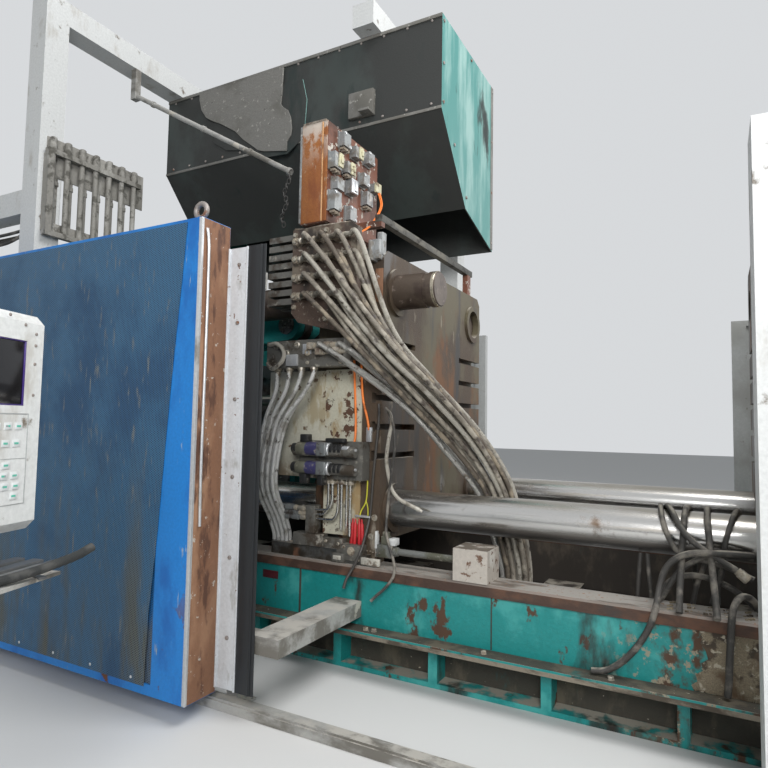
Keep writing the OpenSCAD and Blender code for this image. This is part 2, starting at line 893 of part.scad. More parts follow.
panel_w = 560;
panel_h = 700;
panel_d = 230;
panel_low = 1260;
panel_turn = 17;
panel_corner = [-2215, -3400];

module at_panel() {
    translate([panel_corner[0], panel_corner[1], panel_low]) rotate([0, 0, panel_turn]) children();
}

module control_panel() {
    r = 30;
    color("whitesmoke") at_panel() difference() {
        translate([-panel_d, 0, 0]) rotate([90, 0, 0]) linear_extrude(panel_w)
            polygon([[0, 20], [20, 0], [panel_d - r, 0], [panel_d, r],
                [panel_d, panel_h - r], [panel_d - r, panel_h], [20, panel_h], [0, panel_h - 20]]);
        translate([-8, -panel_w + 110, 400]) cube([20, panel_w - 180, 210]);
    }
}

module control_stand() {
    color("dimgray") at_panel() translate([-panel_d / 2, -panel_w / 2, 0]) {
        translate([0, 0, 20 - panel_low]) cylinder(h = panel_low - 20, d = 90);
        translate([-250, -250, -panel_low]) cube([500, 500, 20]);
        translate([-30, -panel_w / 2 + 40, -150]) cube([230, panel_w - 10, 12]);
        translate([-30, -40, -140]) cube([60, 80, 60]);
    }
}

// Fume hood: folded sheet between two end walls, open towards the die space

module fume_hood() {
    wall = 12;
    front_y = -350;
    back_y = 900;
    bend_z = 4120;
    lip = [190, 3480];
    back_z = 3285;
    color("teal") {
        along_machine(hood_x0 + wall - 1, hood_x1 - wall + 1) polygon([
            [back_y, back_z], [back_y, hood_top], [front_y, hood_top], [front_y, bend_z],
            lip, [lip[0] + 9, lip[1] + 8], [front_y + wall, bend_z + 5],
            [front_y + wall, hood_top - wall], [back_y - wall, hood_top - wall],
            [back_y - wall, back_z]]);
        for (x = [hood_x0, hood_x1 - wall]) along_machine(x, x + wall) polygon([
            [back_y, back_z], [back_y, hood_top], [front_y, hood_top], [front_y, bend_z], lip]);
        across_machine(front_y - wall, front_y) polygon([[-4500, 4700], [-4500, 4330],
            [-4330, 4220], [-4120, 4180], [-3900, 4060], [-3600, 4040], [-3420, 4160],
            [-3400, 4500], [-3450, 4700]]);
    }
}

module hood_columns() {
    color("whitesmoke") {
        for (p = [[hood_post_x[0], hood_post_y[0]], [hood_post_x[0], hood_post_y[1]],
            [hood_post_x[1], hood_post_y[1]]]) {
            block(p[0] - hood_post / 2, p[0] + hood_post / 2,
                p[1] - hood_post / 2, p[1] + hood_post / 2, 20, hood_top);
            block(p[0] - hood_post, p[0] + hood_post,
                p[1] - hood_post / 2, p[1] + hood_post / 2, 0, 20);
        }
        block(hood_post_x[0] - 60, hood_post_x[0] + 60, -track_y[0],
            hood_post_y[0] - hood_post / 2 + 1, guide_z[0] + 5, guide_z[0] + 40);
    }
}

module hood_beams() {
    reach = 1400;
    color("whitesmoke") {
        block(hood_post_x[0] - hood_post / 2, hood_post_x[0] + hood_post / 2,
            hood_post_y[0] - hood_post / 2, hood_post_y[1] + hood_post / 2,
            hood_top, hood_top + hood_post);
        block(hood_post_x[1] - hood_post / 2, hood_post_x[1] + hood_post / 2,
            -500, hood_post_y[1] + hood_post / 2, hood_top, hood_top + hood_post);
        block(hood_post_x[0] - reach, hood_post_x[0] - hood_post / 2,
            hood_post_y[0] - 80, hood_post_y[0] + 80, 3280, 3480);
    }
}

// Slanting arm that carries the spray hoses, on a bracket under the beam
module hose_arm() {
    low = [-3135, -900, 3580];
    high = [hood_post_x[0] + 77, -900, 4654];
    run = high - low;
    color("gray") {
        translate(low) rotate([0, atan2(run[0], run[2]), 0]) cylinder(h = norm(run), d = 42);
        block(high[0] - 35, high[0] + 25, high[1] - 30, high[1] + 30, high[2] - 40, hood_top);
    }
}

module pipe_rack() {
    pipe_d = 44;
    pitch = 130;
    x = hood_post_x[0] + hood_post / 2 + 40;
    y0 = hood_post_y[0] - 60;
    y1 = y0 + 890;
    low = 3080;
    high = 3750;
    bar = 40;
    color("lightgray") {
        for (z = [low, high]) block(x - 20, x + 30, y0, y1, z, z + bar);
        for (i = [0 : 6]) translate([x, y0 + 50 + i * pitch, low + bar - 1])
            cylinder(h = high - low - bar + 2, d = pipe_d);
        block(x - 40, x + 30, y0, y0 + 50, low + bar - 1, high + 1);
    }
}

// Fittings on the operator side of the moving platen

box_x = [-2810, -2585];
box_y = [-1200, -500];
box_z = [platen_high + 180, platen_high + 895];

// Junction box on a leg, with the bar that carries its cables to the far side
module connector_box() {
    bar_x = [moving_face - 100, moving_face - 50];
    bar_z = [box_z[0] + 40, box_z[0] + 90];
    bar_far = 900;
    color("saddlebrown") {
        block(box_x[0], box_x[1], box_y[0], box_y[1], box_z[0], box_z[1]);
        block(box_x[0] + 50, box_x[1] - 40, -960, -640, platen_high, box_z[0] + 1);
        block(box_x[1] - 1, bar_x[1], -930, -880, box_z[0] + 2, bar_z[0] + 10);
        block(bar_x[0], bar_x[1], -930, bar_far, bar_z[0], bar_z[1]);
        block(bar_x[0], bar_x[1], bar_far - 120, bar_far - 40, platen_high, bar_z[0] + 1);
    }
}

// Hoods on the box's side, each by its middle across and over the box's floor, and its height
module box_connectors() {
    base_t = 12;
    hood_t = 56;
    half = 44;
    hoods = [[-1035, 630, 120], [-875, 600, 100], [-685, 630, 110], [-1150, 435, 130],
        [-985, 442, 100], [-755, 440, 110], [-1112, 280, 100], [-930, 320, 120],
        [-700, 310, 120], [-1145, 150, 150], [-935, 120, 120], [-600, 425, 80]];
    color("gray") for (h = hoods) translate([box_x[1], h[0], box_z[0] + h[1] - h[2] / 2]) {
        block(0, base_t, -half - 6, half + 6, 0, h[2]);
        block(base_t - 1, hood_t, -half, half, 10, h[2] - 8);
    }
}

valve_plate_t = 10;

manifold_x0 = -2890;

module hose_manifold() {
    front = half_w + 195;
    thick = 60;
    color("sienna") translate([0, 0, platen_high]) {
        across_machine(-front, -front + thick) polygon([[manifold_x0, 160], [manifold_x0, -440],
            [-2830, -510], [-2460, -600], [-2350, -420], [-2350, 120], [-2400, 160]]);
        for (z = [-420, -180]) block(-2740, -2400, -front + thick, -half_w, z, z + 70);
    }
}

module slat_block() {
    slat_pitch = 66;
    slat_low = platen_high - 370;
    slat_x = [-3120, manifold_x0 - 2];
    slat_y = [-half_w - 175, -half_w - 35];
    color("gray") {
        for (i = [0 : 7]) block(slat_x[0], slat_x[1], slat_y[0], slat_y[1],
            slat_low + i * slat_pitch, slat_low + i * slat_pitch + 44);
        block(slat_x[0] + 10, slat_x[1], slat_y[1] + 0.1, slat_y[1] + 50,
            slat_low - 10, slat_low + 520);
        block(slat_x[1] - 1, -2760, slat_y[1] + 0.1, -half_w + 22,
            slat_low + 30, slat_low + 290);
    }
}

returns_z = axis_z + 205;

module lower_manifold() {
    color("gray") {
        block(-3080, -2430, -half_w - 215, -half_w - 115, returns_z, returns_z + 190);
        for (x = [-2530, -2430]) block(x, x + 60, -half_w - 115, -half_w,
            returns_z + 50, returns_z + 140);
    }
}

module valve_plate() {
    color("ivory") block(-2700, -2400, -half_w - valve_plate_t, -half_w,
        platen_low + 20, returns_z - 5);
}

module valve_block() {
    color("dimgray") {
        block(-2850, -2330, -1080, -half_w - valve_plate_t, 1240, 1500);
        for (i = [0 : 1], j = [0 : 1])
            along_x(74, -2860 + i * 270, -2630 + i * 270, -1120, 1310 + j * 120);
        for (i = [0 : 1], j = [0 : 1])
            block(-2800 + i * 250, -2700 + i * 250, -1130, -1079, 1275 + j * 120, 1345 + j * 120);
    }
}

module sensor_box() {
    color("white") {
        block(-1670, -1450, -bed_out + 5, -bed_out + 225, rail_top + shoe_gap, rail_top + 195);
        along_x(40, -2150, -1669, -950, rail_top + 95);
        block(moving_face - foot_back, -2149, -990, -910, rail_top + 55, rail_top + 135);
    }
}

// Hoses

// Catmull-Rom point between b and c
function between(a, b, c, d, t) = 0.5 * (2 * b + (c - a) * t
    + (2 * a - 5 * b + 4 * c - d) * t * t + (3 * b - a - 3 * c + d) * t * t * t);

function smooth_path(p, k) = [for (i = [0 : len(p) - 2], s = [0 : k - 1])
    between(p[max(i - 1, 0)], p[i], p[i + 1], p[min(i + 2, len(p) - 1)], s / k),
    p[len(p) - 1]];

function unit(v) = v / norm(v);

function heading(p, i) = unit(p[min(i + 1, len(p) - 1)] - p[max(i - 1, 0)]);

function ring_points(c, dir, r, n) = let (u = unit(cross(dir, [1, 0, 0])), v = cross(dir, u))
    [for (j = [0 : n - 1]) c + r * (cos(360 * j / n) * u + sin(360 * j / n) * v)];

module tube(p, d, n = 10) {
    m = len(p);
    polyhedron(
        points = [for (i = [0 : m - 1]) each ring_points(p[i], heading(p, i), d / 2, n)],
        faces = concat([[for (j = [n - 1 : -1 : 0]) j]],
            [for (i = [0 : m - 2], j = [0 : n - 1])
                [i * n + j, i * n + (j + 1) % n, (i + 1) * n + (j + 1) % n, (i + 1) * n + j]],
            [[for (j = [0 : n - 1]) (m - 1) * n + j]]));
}

// Middle line of the hoses from the upper manifold down to their couplings
bundle_route = [[-2350, -1310, 2450], [-2180, -1215, 2150], [-1990, -920, 1850],
    [-1780, -620, 1520], [-1600, -490, 1200], [-1490, -460, 850], [-1450, -450, 640],
    [-1450, -450, 560], [-1450, -450, 480]];
bundle_y = -half_w - 195;
bundle_from = [[-2745, platen_high - 20], [-2450, platen_high - 20],
    [-2745, platen_high - 360], [-2450, platen_high - 360]];
bundle_step = 54;
bundle_d = 100;
return_route = [[-2960, -half_w - 140, returns_z - 0.5], [-2960, -half_w - 140, returns_z - 30],
    [-2960, -half_w - 140, returns_z - 60],
    [-3000, -1180, 1600], [-3060, -1180, 1200], [-3060, -1000, shoe_top + 120],
    [-3060, -978, shoe_top + 80], [-3060, -978, shoe_top + 40], [-3060, -978, shoe_top + 0.5]];
draped_routes = [
    [[-420, -1120, 690], [-420, -1070, 780], [-410, -960, 980], [-400, -880, 1150],
        [-390, -765, 1183.2], [-380, -620, 1140], [-370, -560, 950], [-360, -540, 700]],
    [[-250, -1150, 690], [-260, -1060, 800], [-280, -950, 1020], [-290, -870, 1155],
        [-290, -765, 1183.9], [-280, -620, 1130], [-260, -560, 900], [-250, -550, 620]]];

// Four strands side by side, each for a quarter of the hoses
module hose_bundle() {
    color("tan") for (i = [0 : 3]) {
        outer = i % 2 == 0 ? -1 : 1;
        upper = i < 2 ? 1 : -1;
        strand = [for (k = [0 : len(bundle_route) - 1]) let (
            run = heading(bundle_route, k), right = unit([-run[2], 0, run[0]]),
            inward = unit(cross(right, run)))
            bundle_route[k] + bundle_step * (upper * right + outer * inward)];
        start = bundle_from[i];
        first = strand[0];
        tube(concat([for (out = [0.4, 30, 62]) [start[0], bundle_y - out, start[1]]], [
            [0.6 * start[0] + 0.4 * first[0], first[1] + 10, 0.6 * start[1] + 0.4 * first[2]]],
            strand), bundle_d, 8);
    }
}

module hose_couplings() {
    color("dimgray") translate([-1450, -450, 399.7]) cylinder(h = 80, d = 240);
}

module return_hoses() {
    color("silver") tube(return_route, 130, 8);
}

module draped_hoses() {
    color("dimgray") for (r = draped_routes) tube(smooth_path(r, 2), 34, 8);
}

bed_sides();
bed_cross_members();
guide_rails();
fixed_platen();
rear_platen();
lower_tie_bars();
front_nuts();
adjusting_nuts();
closing_cylinder();
crosshead_guide_rods();
bar_supports();
shot_sleeve();
plunger_rod();
injection_rods();
injection_plate();
shot_cylinder();
accumulators();
injection_base();
oil_tank();
pump_motors();
door_track();
track_beams();
guard_posts();
fixed_guard_front();
rear_guard();
control_panel();
control_stand();
fume_hood();
hood_columns();
hood_beams();
hose_arm();
pipe_rack();
door_frame();
door_sheet();
door_seal();
door_rollers();
moving_platen();
platen_shoes();
connector_box();
box_connectors();
hose_manifold();
slat_block();
lower_manifold();
valve_plate();
valve_block();
sensor_box();
ejector();
rear_link_upper();
rear_link_lower();
front_link_upper();
front_link_lower();
crosshead();
drive_link_upper();
drive_link_lower();
upper_tie_bar_front();
upper_tie_bar_rear();
hose_bundle();
hose_couplings();
return_hoses();
draped_hoses();
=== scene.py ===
import bpy
import math
import random
from mathutils import Vector, Matrix, Euler


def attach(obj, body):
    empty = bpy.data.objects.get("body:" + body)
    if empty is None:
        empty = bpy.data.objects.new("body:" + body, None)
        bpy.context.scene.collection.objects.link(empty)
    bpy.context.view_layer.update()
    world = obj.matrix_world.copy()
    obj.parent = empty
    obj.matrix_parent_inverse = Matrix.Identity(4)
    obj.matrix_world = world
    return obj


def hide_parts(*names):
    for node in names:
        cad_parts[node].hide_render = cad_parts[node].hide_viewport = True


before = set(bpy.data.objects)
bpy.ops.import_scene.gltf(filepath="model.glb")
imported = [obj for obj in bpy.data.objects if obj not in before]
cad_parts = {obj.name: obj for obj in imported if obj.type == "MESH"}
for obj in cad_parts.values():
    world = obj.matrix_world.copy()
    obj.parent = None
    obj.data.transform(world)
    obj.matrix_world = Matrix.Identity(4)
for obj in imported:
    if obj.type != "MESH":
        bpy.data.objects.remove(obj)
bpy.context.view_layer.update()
bpy.ops.object.select_all(action="DESELECT")

# Studio: a pale floor, a pale world and three soft lamps.
# The camera stands where the photographer stood, on the operator's side by the open door.
def studio_material(name, colour):
    material = bpy.data.materials.new(name)
    material.use_nodes = True
    tree = material.node_tree
    shader = tree.nodes["Principled BSDF"]
    shader.inputs["Base Color"].default_value = (*colour, 1)
    shader.inputs["Roughness"].default_value = 0.9
    return material

bpy.ops.mesh.primitive_plane_add(size=80, location=(0, 0, -0.001))
floor = bpy.context.object
floor.name = "studio_floor"
bpy.ops.object.mode_set(mode="EDIT")
bpy.ops.mesh.select_all(action="SELECT")
bpy.ops.mesh.subdivide(number_cuts=3)
bpy.ops.object.mode_set(mode="OBJECT")
floor.data.materials.append(studio_material("studio_floor", (0.62, 0.62, 0.61)))

world = bpy.data.worlds.new("studio_world")
bpy.context.scene.world = world
world.use_nodes = True
sky = world.node_tree
sky_light = sky.nodes["Background"]
sky_light.inputs["Color"].default_value = (0.78, 0.82, 0.86, 1)
sky_light.inputs["Strength"].default_value = 0.4
sky_seen = sky.nodes.new("ShaderNodeBackground")
sky_seen.inputs["Color"].default_value = (0.8, 0.82, 0.84, 1)
sky_seen.inputs["Strength"].default_value = 0.85
sky_rays = sky.nodes.new("ShaderNodeLightPath")
sky_either = sky.nodes.new("ShaderNodeMath")
sky_either.operation = "MAXIMUM"
sky_mix = sky.nodes.new("ShaderNodeMixShader")
sky.links.new(sky_rays.outputs["Is Camera Ray"], sky_either.inputs[0])
sky.links.new(sky_rays.outputs["Is Glossy Ray"], sky_either.inputs[1])
sky.links.new(sky_either.outputs[0], sky_mix.inputs[0])
sky.links.new(sky_light.outputs[0], sky_mix.inputs[1])
sky.links.new(sky_seen.outputs[0], sky_mix.inputs[2])
sky.links.new(sky_mix.outputs[0], sky.nodes["World Output"].inputs["Surface"])

def soft_lamp(name, at, towards, size, watts):
    bpy.ops.object.light_add(type="AREA", location=at)
    lamp = bpy.context.object
    lamp.name = name
    lamp.data.shape = "DISK"
    lamp.data.size = size
    lamp.data.energy = watts
    lamp.rotation_euler = (Vector(towards) - Vector(at)).to_track_quat("-Z", "Y").to_euler()

soft_lamp("lamp_operator", (1.2, -7.5, 4.2), (-1.6, -0.8, 1.4), 3.0, 400)
soft_lamp("lamp_above", (1.5, -1.5, 8.5), (-1.5, 0.0, 1.2), 4.0, 430)
soft_lamp("lamp_behind", (4.5, 6.0, 5.5), (-1.0, 0.0, 1.5), 3.0, 300)

photographer = (-0.24, -4.645, 1.62)
focal_length, photo_width, sensor_width = 612, 768, 36.0
bpy.ops.object.camera_add(location=photographer)
camera = bpy.context.object
camera.name = "photo_camera"
camera.data.sensor_width = sensor_width
camera.data.lens = sensor_width * focal_length / photo_width
camera.data.clip_end = 200
turn = Euler((math.radians(90 + 3.8), 0, math.radians(28.5))).to_matrix().to_4x4()
camera.matrix_world = (Matrix.Translation(photographer) @ turn
    @ Matrix.Rotation(math.radians(1.0), 4, "Z"))
bpy.context.scene.camera = camera
bpy.context.scene.view_settings.view_transform = "Standard"

# Finishes: paint, metal and rubber in shop wear, for the machine and for its pieces.
even = (1, 1, 1)
usual_layer = (0.0, even, "")

def worn(name, colour, rough, metal, layers=(), grain=(60, 0.12), bump=0.15):
    """Paint or metal in shop wear. A layer is (colour, size, low, high, rough, metal,
    stretch, place): noise between low and high lays it on, where place is "" for all over,
    "top" or "end" for faces that look up or along X, the heights it fades in between, or
    an axis letter with the places where it fades in and out along that axis. The last
    three may be left out, for a dull, even layer all over."""
    material = bpy.data.materials.new(name)
    material.use_nodes = True
    tree = material.node_tree
    shader = tree.nodes["Principled BSDF"]
    where = tree.nodes.new("ShaderNodeTexCoord").outputs["Object"]

    def cloud(size, stretch, detail=6.0):
        fit = tree.nodes.new("ShaderNodeMapping")
        fit.inputs["Scale"].default_value = stretch
        noise = tree.nodes.new("ShaderNodeTexNoise")
        noise.inputs["Scale"].default_value = size
        noise.inputs["Detail"].default_value = detail
        noise.inputs["Roughness"].default_value = 0.62
        tree.links.new(where, fit.inputs["Vector"])
        tree.links.new(fit.outputs[0], noise.inputs["Vector"])
        return noise.outputs["Fac"]

    def ranged(value, low, high, smooth=True):
        span = tree.nodes.new("ShaderNodeMapRange")
        if smooth:
            span.interpolation_type = "SMOOTHSTEP"
        span.inputs["From Min"].default_value = low
        span.inputs["From Max"].default_value = high
        tree.links.new(value, span.inputs["Value"])
        return span.outputs["Result"]

    def mixed(kind, factor, a, b):
        mix = tree.nodes.new("ShaderNodeMix")
        mix.data_type = kind
        side = {"FLOAT": (2, 3, 0), "RGBA": (6, 7, 2)}[kind]
        tree.links.new(factor, mix.inputs[0])
        for socket, value in ((mix.inputs[side[0]], a), (mix.inputs[side[1]], b)):
            if hasattr(value, "links"):
                tree.links.new(value, socket)
            else:
                socket.default_value = value
        return mix.outputs[side[2]]

    fine = cloud(grain[0], (1, 1, 1), 8.0)
    spread = grain[1]
    tint = mixed("RGBA", fine, (*[c * (1 - 2 * spread) for c in colour], 1),
        (*[min(1, c * (1 + 2 * spread)) for c in colour], 1))
    dull = mixed("FLOAT", fine, max(0.03, rough - 0.08), min(1, rough + 0.08))
    shine = metal
    relief = fine
    for layer in layers:
        tone, size, low, high, layer_rough, *rest = layer
        layer_metal, stretch, place = (*rest, *usual_layer[len(rest):])
        lies = ranged(cloud(size, stretch), low, high)
        if place:
            split = tree.nodes.new("ShaderNodeSeparateXYZ")
            if place in ("top", "end"):
                tree.links.new(tree.nodes.new("ShaderNodeNewGeometry").outputs["Normal"],
                    split.inputs[0])
                limit = ranged(split.outputs["Z" if place == "top" else "X"], 0.55, 0.9)
            else:
                tree.links.new(where, split.inputs[0])
                axis, *ends = place if len(place) > 2 else ("Z", *place)
                limit = ranged(split.outputs[axis], ends[0], ends[1])
                if len(ends) > 2:
                    lies = mixed("FLOAT", ranged(split.outputs[axis], ends[2], ends[3]), 0.0, lies)
            both = tree.nodes.new("ShaderNodeMath")
            both.operation = "MULTIPLY"
            tree.links.new(lies, both.inputs[0])
            tree.links.new(limit, both.inputs[1])
            lies = both.outputs[0]
        tint = mixed("RGBA", lies, tint, (*tone, 1))
        dull = mixed("FLOAT", lies, dull, layer_rough)
        if layer_metal != metal or hasattr(shine, "links"):
            shine = mixed("FLOAT", lies, shine, layer_metal)
        relief = mixed("FLOAT", lies, relief, 0.25)
    tree.links.new(tint, shader.inputs["Base Color"])
    tree.links.new(dull, shader.inputs["Roughness"])
    if hasattr(shine, "links"):
        tree.links.new(shine, shader.inputs["Metallic"])
    else:
        shader.inputs["Metallic"].default_value = shine
    if bump:
        raised = tree.nodes.new("ShaderNodeBump")
        raised.inputs["Strength"].default_value = bump
        raised.inputs["Distance"].default_value = 0.01
        tree.links.new(relief, raised.inputs["Height"])
        tree.links.new(raised.outputs[0], shader.inputs["Normal"])
    return material

hose_grey = worn("hose_sleeve_grey", (0.205, 0.18, 0.145), 0.5, 0.0, (
    ((0.36, 0.325, 0.265), 9, 0.46, 0.62, 0.75),
    ((0.07, 0.055, 0.045), 14, 0.52, 0.64, 0.5)), grain=(420, 0.25), bump=0.5)

def smooth_route(points, steps=8):
    """Catmull-Rom points through a hose's route, dense enough for its length."""
    route = []
    last = len(points) - 1
    for i in range(last):
        a, b, c, d = (Vector(points[max(0, min(last, i + k))]) for k in (-1, 0, 1, 2))
        for s in range(steps):
            t = s / steps
            route.append(0.5 * (2 * b + (c - a) * t + (2 * a - 5 * b + 4 * c - d) * t * t
                + (3 * b - a - 3 * c + d) * t ** 3))
    route.append(Vector(points[-1]))
    return route

def laid_hose(name, points, thick, material, body, slot, steps=8, sides=4, replaced="",
        **cord):
    """A hose as a round curve along its route, on its body. Its far end and stiffness, where
    given, are not used."""
    route = smooth_route(points, steps)
    line = bpy.data.curves.new(name, "CURVE")
    line.dimensions = "3D"
    spline = line.splines.new("POLY")
    spline.points.add(len(route) - 1)
    for point, place in zip(spline.points, route):
        point.co = (*place, 1)
    line.bevel_depth = thick / 2
    line.bevel_resolution = sides
    line.use_fill_caps = True
    line.materials.append(material)
    hose = bpy.data.objects.new(name, line)
    bpy.context.scene.collection.objects.link(hose)
    spline.use_smooth = True
    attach(hose, body)
    if replaced:
        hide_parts(replaced)

hose_pale = worn("hose_sleeve_pale", (0.39, 0.365, 0.31), 0.48, 0.0, (
    ((0.17, 0.15, 0.12), 8, 0.48, 0.62, 0.7),
    ((0.07, 0.055, 0.045), 14, 0.56, 0.66, 0.5)), grain=(420, 0.2), bump=0.5)
hose_brown = worn("hose_sleeve_brown", (0.105, 0.085, 0.064), 0.55, 0.0, (
    ((0.27, 0.225, 0.165), 11, 0.48, 0.62, 0.8),
    ((0.04, 0.03, 0.025), 12, 0.55, 0.66, 0.5)), grain=(420, 0.25), bump=0.5)
braid = worn("steel_braid", (0.46, 0.45, 0.42), 0.36, 0.8, (
    ((0.1, 0.08, 0.06), 11, 0.56, 0.68, 0.6, 0.3),), grain=(700, 0.3), bump=0.6)
bright_sleeve = worn("bright_hose_sleeve", (0.56, 0.56, 0.54), 0.4, 0.2, (
    ((0.25, 0.24, 0.215), 9, 0.5, 0.64, 0.6),
    ((0.07, 0.06, 0.05), 15, 0.6, 0.68, 0.6)), grain=(700, 0.25), bump=0.5)

# Hydraulic hoses of the moving platen: fifteen hoses in dusty sleeves and four in steel braid,
# from the fittings on the upper manifold down behind the near tie bar, to the couplings
# between the girders.
connected = {"far_end": "object", "stiffness": "stiff"}
band = [(-2.35, -1.31, 2.45), (-2.18, -1.19, 2.15), (-1.99, -0.92, 1.85),
    (-1.78, -0.62, 1.52), (-1.6, -0.49, 1.2), (-1.49, -0.46, 0.85),
    (-1.45, -0.45, 0.64), (-1.45, -0.45, 0.5)]
band_pitch = (0.062, 0.066, 0.064, 0.058, 0.05, 0.044, 0.04, 0.04)
fitting_x = (-2.83, -2.72, -2.61, -2.5)
fitting_z = (2.9, 2.77, 2.64, 2.51)
low_x = (-2.66, -2.59, -2.52, -2.45)
outlets = []
sway = random.Random(7)
for row in range(5):
    for column in range(4):
        if (row, column) == (2, 3):
            continue
        lane = 3 - column
        if row < 4:
            x, y, z = fitting_x[column], -1.196, fitting_z[row]
            points = [(x + 0.03, y, z), (x + 0.065, y - 0.008 - 0.004 * lane, z),
                (x + 0.13, y - 0.04 - 0.018 * lane, z - 0.012),
                (x + 0.23, y - 0.075 - 0.026 * lane, z - 0.065)]
        else:
            x, y, z = low_x[column], -1.212, 2.15 - 0.04 * (column % 2)
            points = [(x + 0.03, y, z), (x + 0.07, y - 0.004 - 0.003 * lane, z - 0.003),
                (x + 0.14, y - 0.012 - 0.012 * lane, z - 0.03)]
        outlets.append((row, column, points[0]))
        for i, centre in enumerate(band):
            if i < 1 + (row > 3):
                continue
            ahead = Vector(band[min(i + 1, 7)]) - Vector(band[i - 1])
            right = Vector((-ahead.z, 0, ahead.x)).normalized()
            inward = ahead.normalized().cross(right).normalized()
            if inward.y < 0:
                inward = -inward
            loose = 0.3 if i < 5 else 0.04
            points.append(Vector(centre)
                + right * band_pitch[i] * (1.7 - row + sway.uniform(-loose, loose))
                + inward * (min(band_pitch[i], 0.048) * (column - 1.5)
                    + 0.01 * sway.uniform(-loose, loose)))
        tone = braid if row == 4 else (hose_grey, hose_pale, hose_grey, hose_brown)[
            (row + 3 * column) % 4]
        laid_hose(f"platen_hose_{row}_{column}", points, 0.034, tone, "moving_platen",
            "hose_beige", replaced="hose_bundle", **connected)

# Return hoses: eight braided steel hoses that hang from the lower manifold's underside
# to the shoe, and a pale loop hose bent over on its front.
for i in range(8):
    side, lane = i // 2, i % 2
    top_x = -3.03 + 0.105 * side + 0.03 * lane
    spread = 0.038
    points = [(top_x, -1.12 - 0.045 * lane, 2.02), (top_x, -1.125 - 0.045 * lane, 1.96),
        (top_x - 0.02 * side, -1.14 - 0.04 * lane, 1.84)]
    for centre in ((-3.0, -1.18, 1.6), (-3.06, -1.18, 1.2), (-3.065, -1.03, 0.93),
            (-3.06, -0.985, 0.82), (-3.06, -0.978, 0.766)):
        drop = (2.0 - centre[2]) / 1.2
        points.append((centre[0] + spread * (side - 1.5) * (1.6 - 0.6 * drop),
            centre[1] + spread * (0.5 - lane), centre[2]))
    laid_hose(f"return_hose_{i}", points, 0.03, bright_sleeve, "moving_platen",
        "hose_beige", replaced="return_hoses", **connected)

# Hoses over the near tie bar: dusty black rubber lines that the fitters threw over the bar.
# Both ends go down, one outside the rail and one between the girders.
hose_black = worn("dusty_black_hose", (0.045, 0.042, 0.038), 0.6, 0.0, (
    ((0.22, 0.2, 0.17), 8, 0.47, 0.66, 0.85),
    ((0.26, 0.24, 0.2), 12, 0.35, 0.6, 0.9, 0.0, even, "top")), grain=(300, 0.3), bump=0.4)
draped = [[(-0.42, -1.12, 0.69), (-0.42, -1.07, 0.78), (-0.41, -0.96, 0.98),
        (-0.4, -0.88, 1.15), (-0.39, -0.765, 1.183), (-0.38, -0.62, 1.14),
        (-0.37, -0.56, 0.95), (-0.36, -0.54, 0.7)],
    [(-0.25, -1.15, 0.69), (-0.26, -1.06, 0.8), (-0.28, -0.95, 1.02),
        (-0.29, -0.87, 1.155), (-0.29, -0.765, 1.183), (-0.28, -0.62, 1.13),
        (-0.26, -0.56, 0.9), (-0.25, -0.55, 0.62)]]
for i, points in enumerate(draped):
    laid_hose(f"draped_hose_{i}", points, 0.034, hose_black, "root", "hose_dark",
        replaced="draped_hoses", far_end="bare", stiffness="stiff")

# Bed: two welded girders and their cross members, in chipped teal machine paint that oil,
# rust and casting dust have darkened. It stands on the floor and is bolted down.
def dressed(material, *names):
    """Lays a finish on nodes of the machine itself."""
    for name in names:
        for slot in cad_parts[name].material_slots:
            slot.material = material

oil = (0.02, 0.016, 0.012)
rust = (0.13, 0.05, 0.022)
dust = (0.33, 0.3, 0.25)
teal = (0.01, 0.235, 0.225)
old_rust = (0.085, 0.045, 0.026)
pale_teal = ((0.05, 0.34, 0.32), 2.2, 0.5, 0.62, 0.5)
dusty_top = (dust, 7, 0.4, 0.55, 0.9, 0.0, even, "top")
spray_end = ("X", -0.95, -0.45)
below_flange = ("Y", -0.92, -0.9, 1.074, 1.07)
bed_paint = worn("bed_teal_paint", teal, 0.42, 0.0, (
    pale_teal,
    (old_rust, 5, 0.585, 0.62, 0.8, 0.0, (1, 1, 0.6)),
    (old_rust, 4, 0.5, 0.57, 0.8, 0.0, (1, 1, 0.7), spray_end),
    ((0.33, 0.28, 0.2), 17, 0.56, 0.62, 0.9, 0.0, even, spray_end),
    (oil, 3.1, 0.5, 0.66, 0.35, 0.0, (1, 1, 0.35)),
    ((0.045, 0.037, 0.03), 1.5, 0.2, 0.32, 0.7, 0.0, even, below_flange),
    ((0.1, 0.082, 0.062), 5, 0.52, 0.66, 0.8, 0.0, (1, 1, 0.5), below_flange),
    dusty_top), bump=0.25)
dressed(bed_paint, "bed_sides", "bed_cross_members")
clamp_paint = worn("clamp_teal_paint", teal, 0.42, 0.0, (
    pale_teal,
    (old_rust, 6, 0.6, 0.64, 0.8, 0.0, (1, 1, 0.6)),
    (oil, 3.1, 0.54, 0.7, 0.35, 0.0, (1, 1, 0.35)),
    dusty_top), bump=0.25)
dressed(clamp_paint, "rear_platen", "injection_plate", "injection_base", "oil_tank",
    "bar_supports")

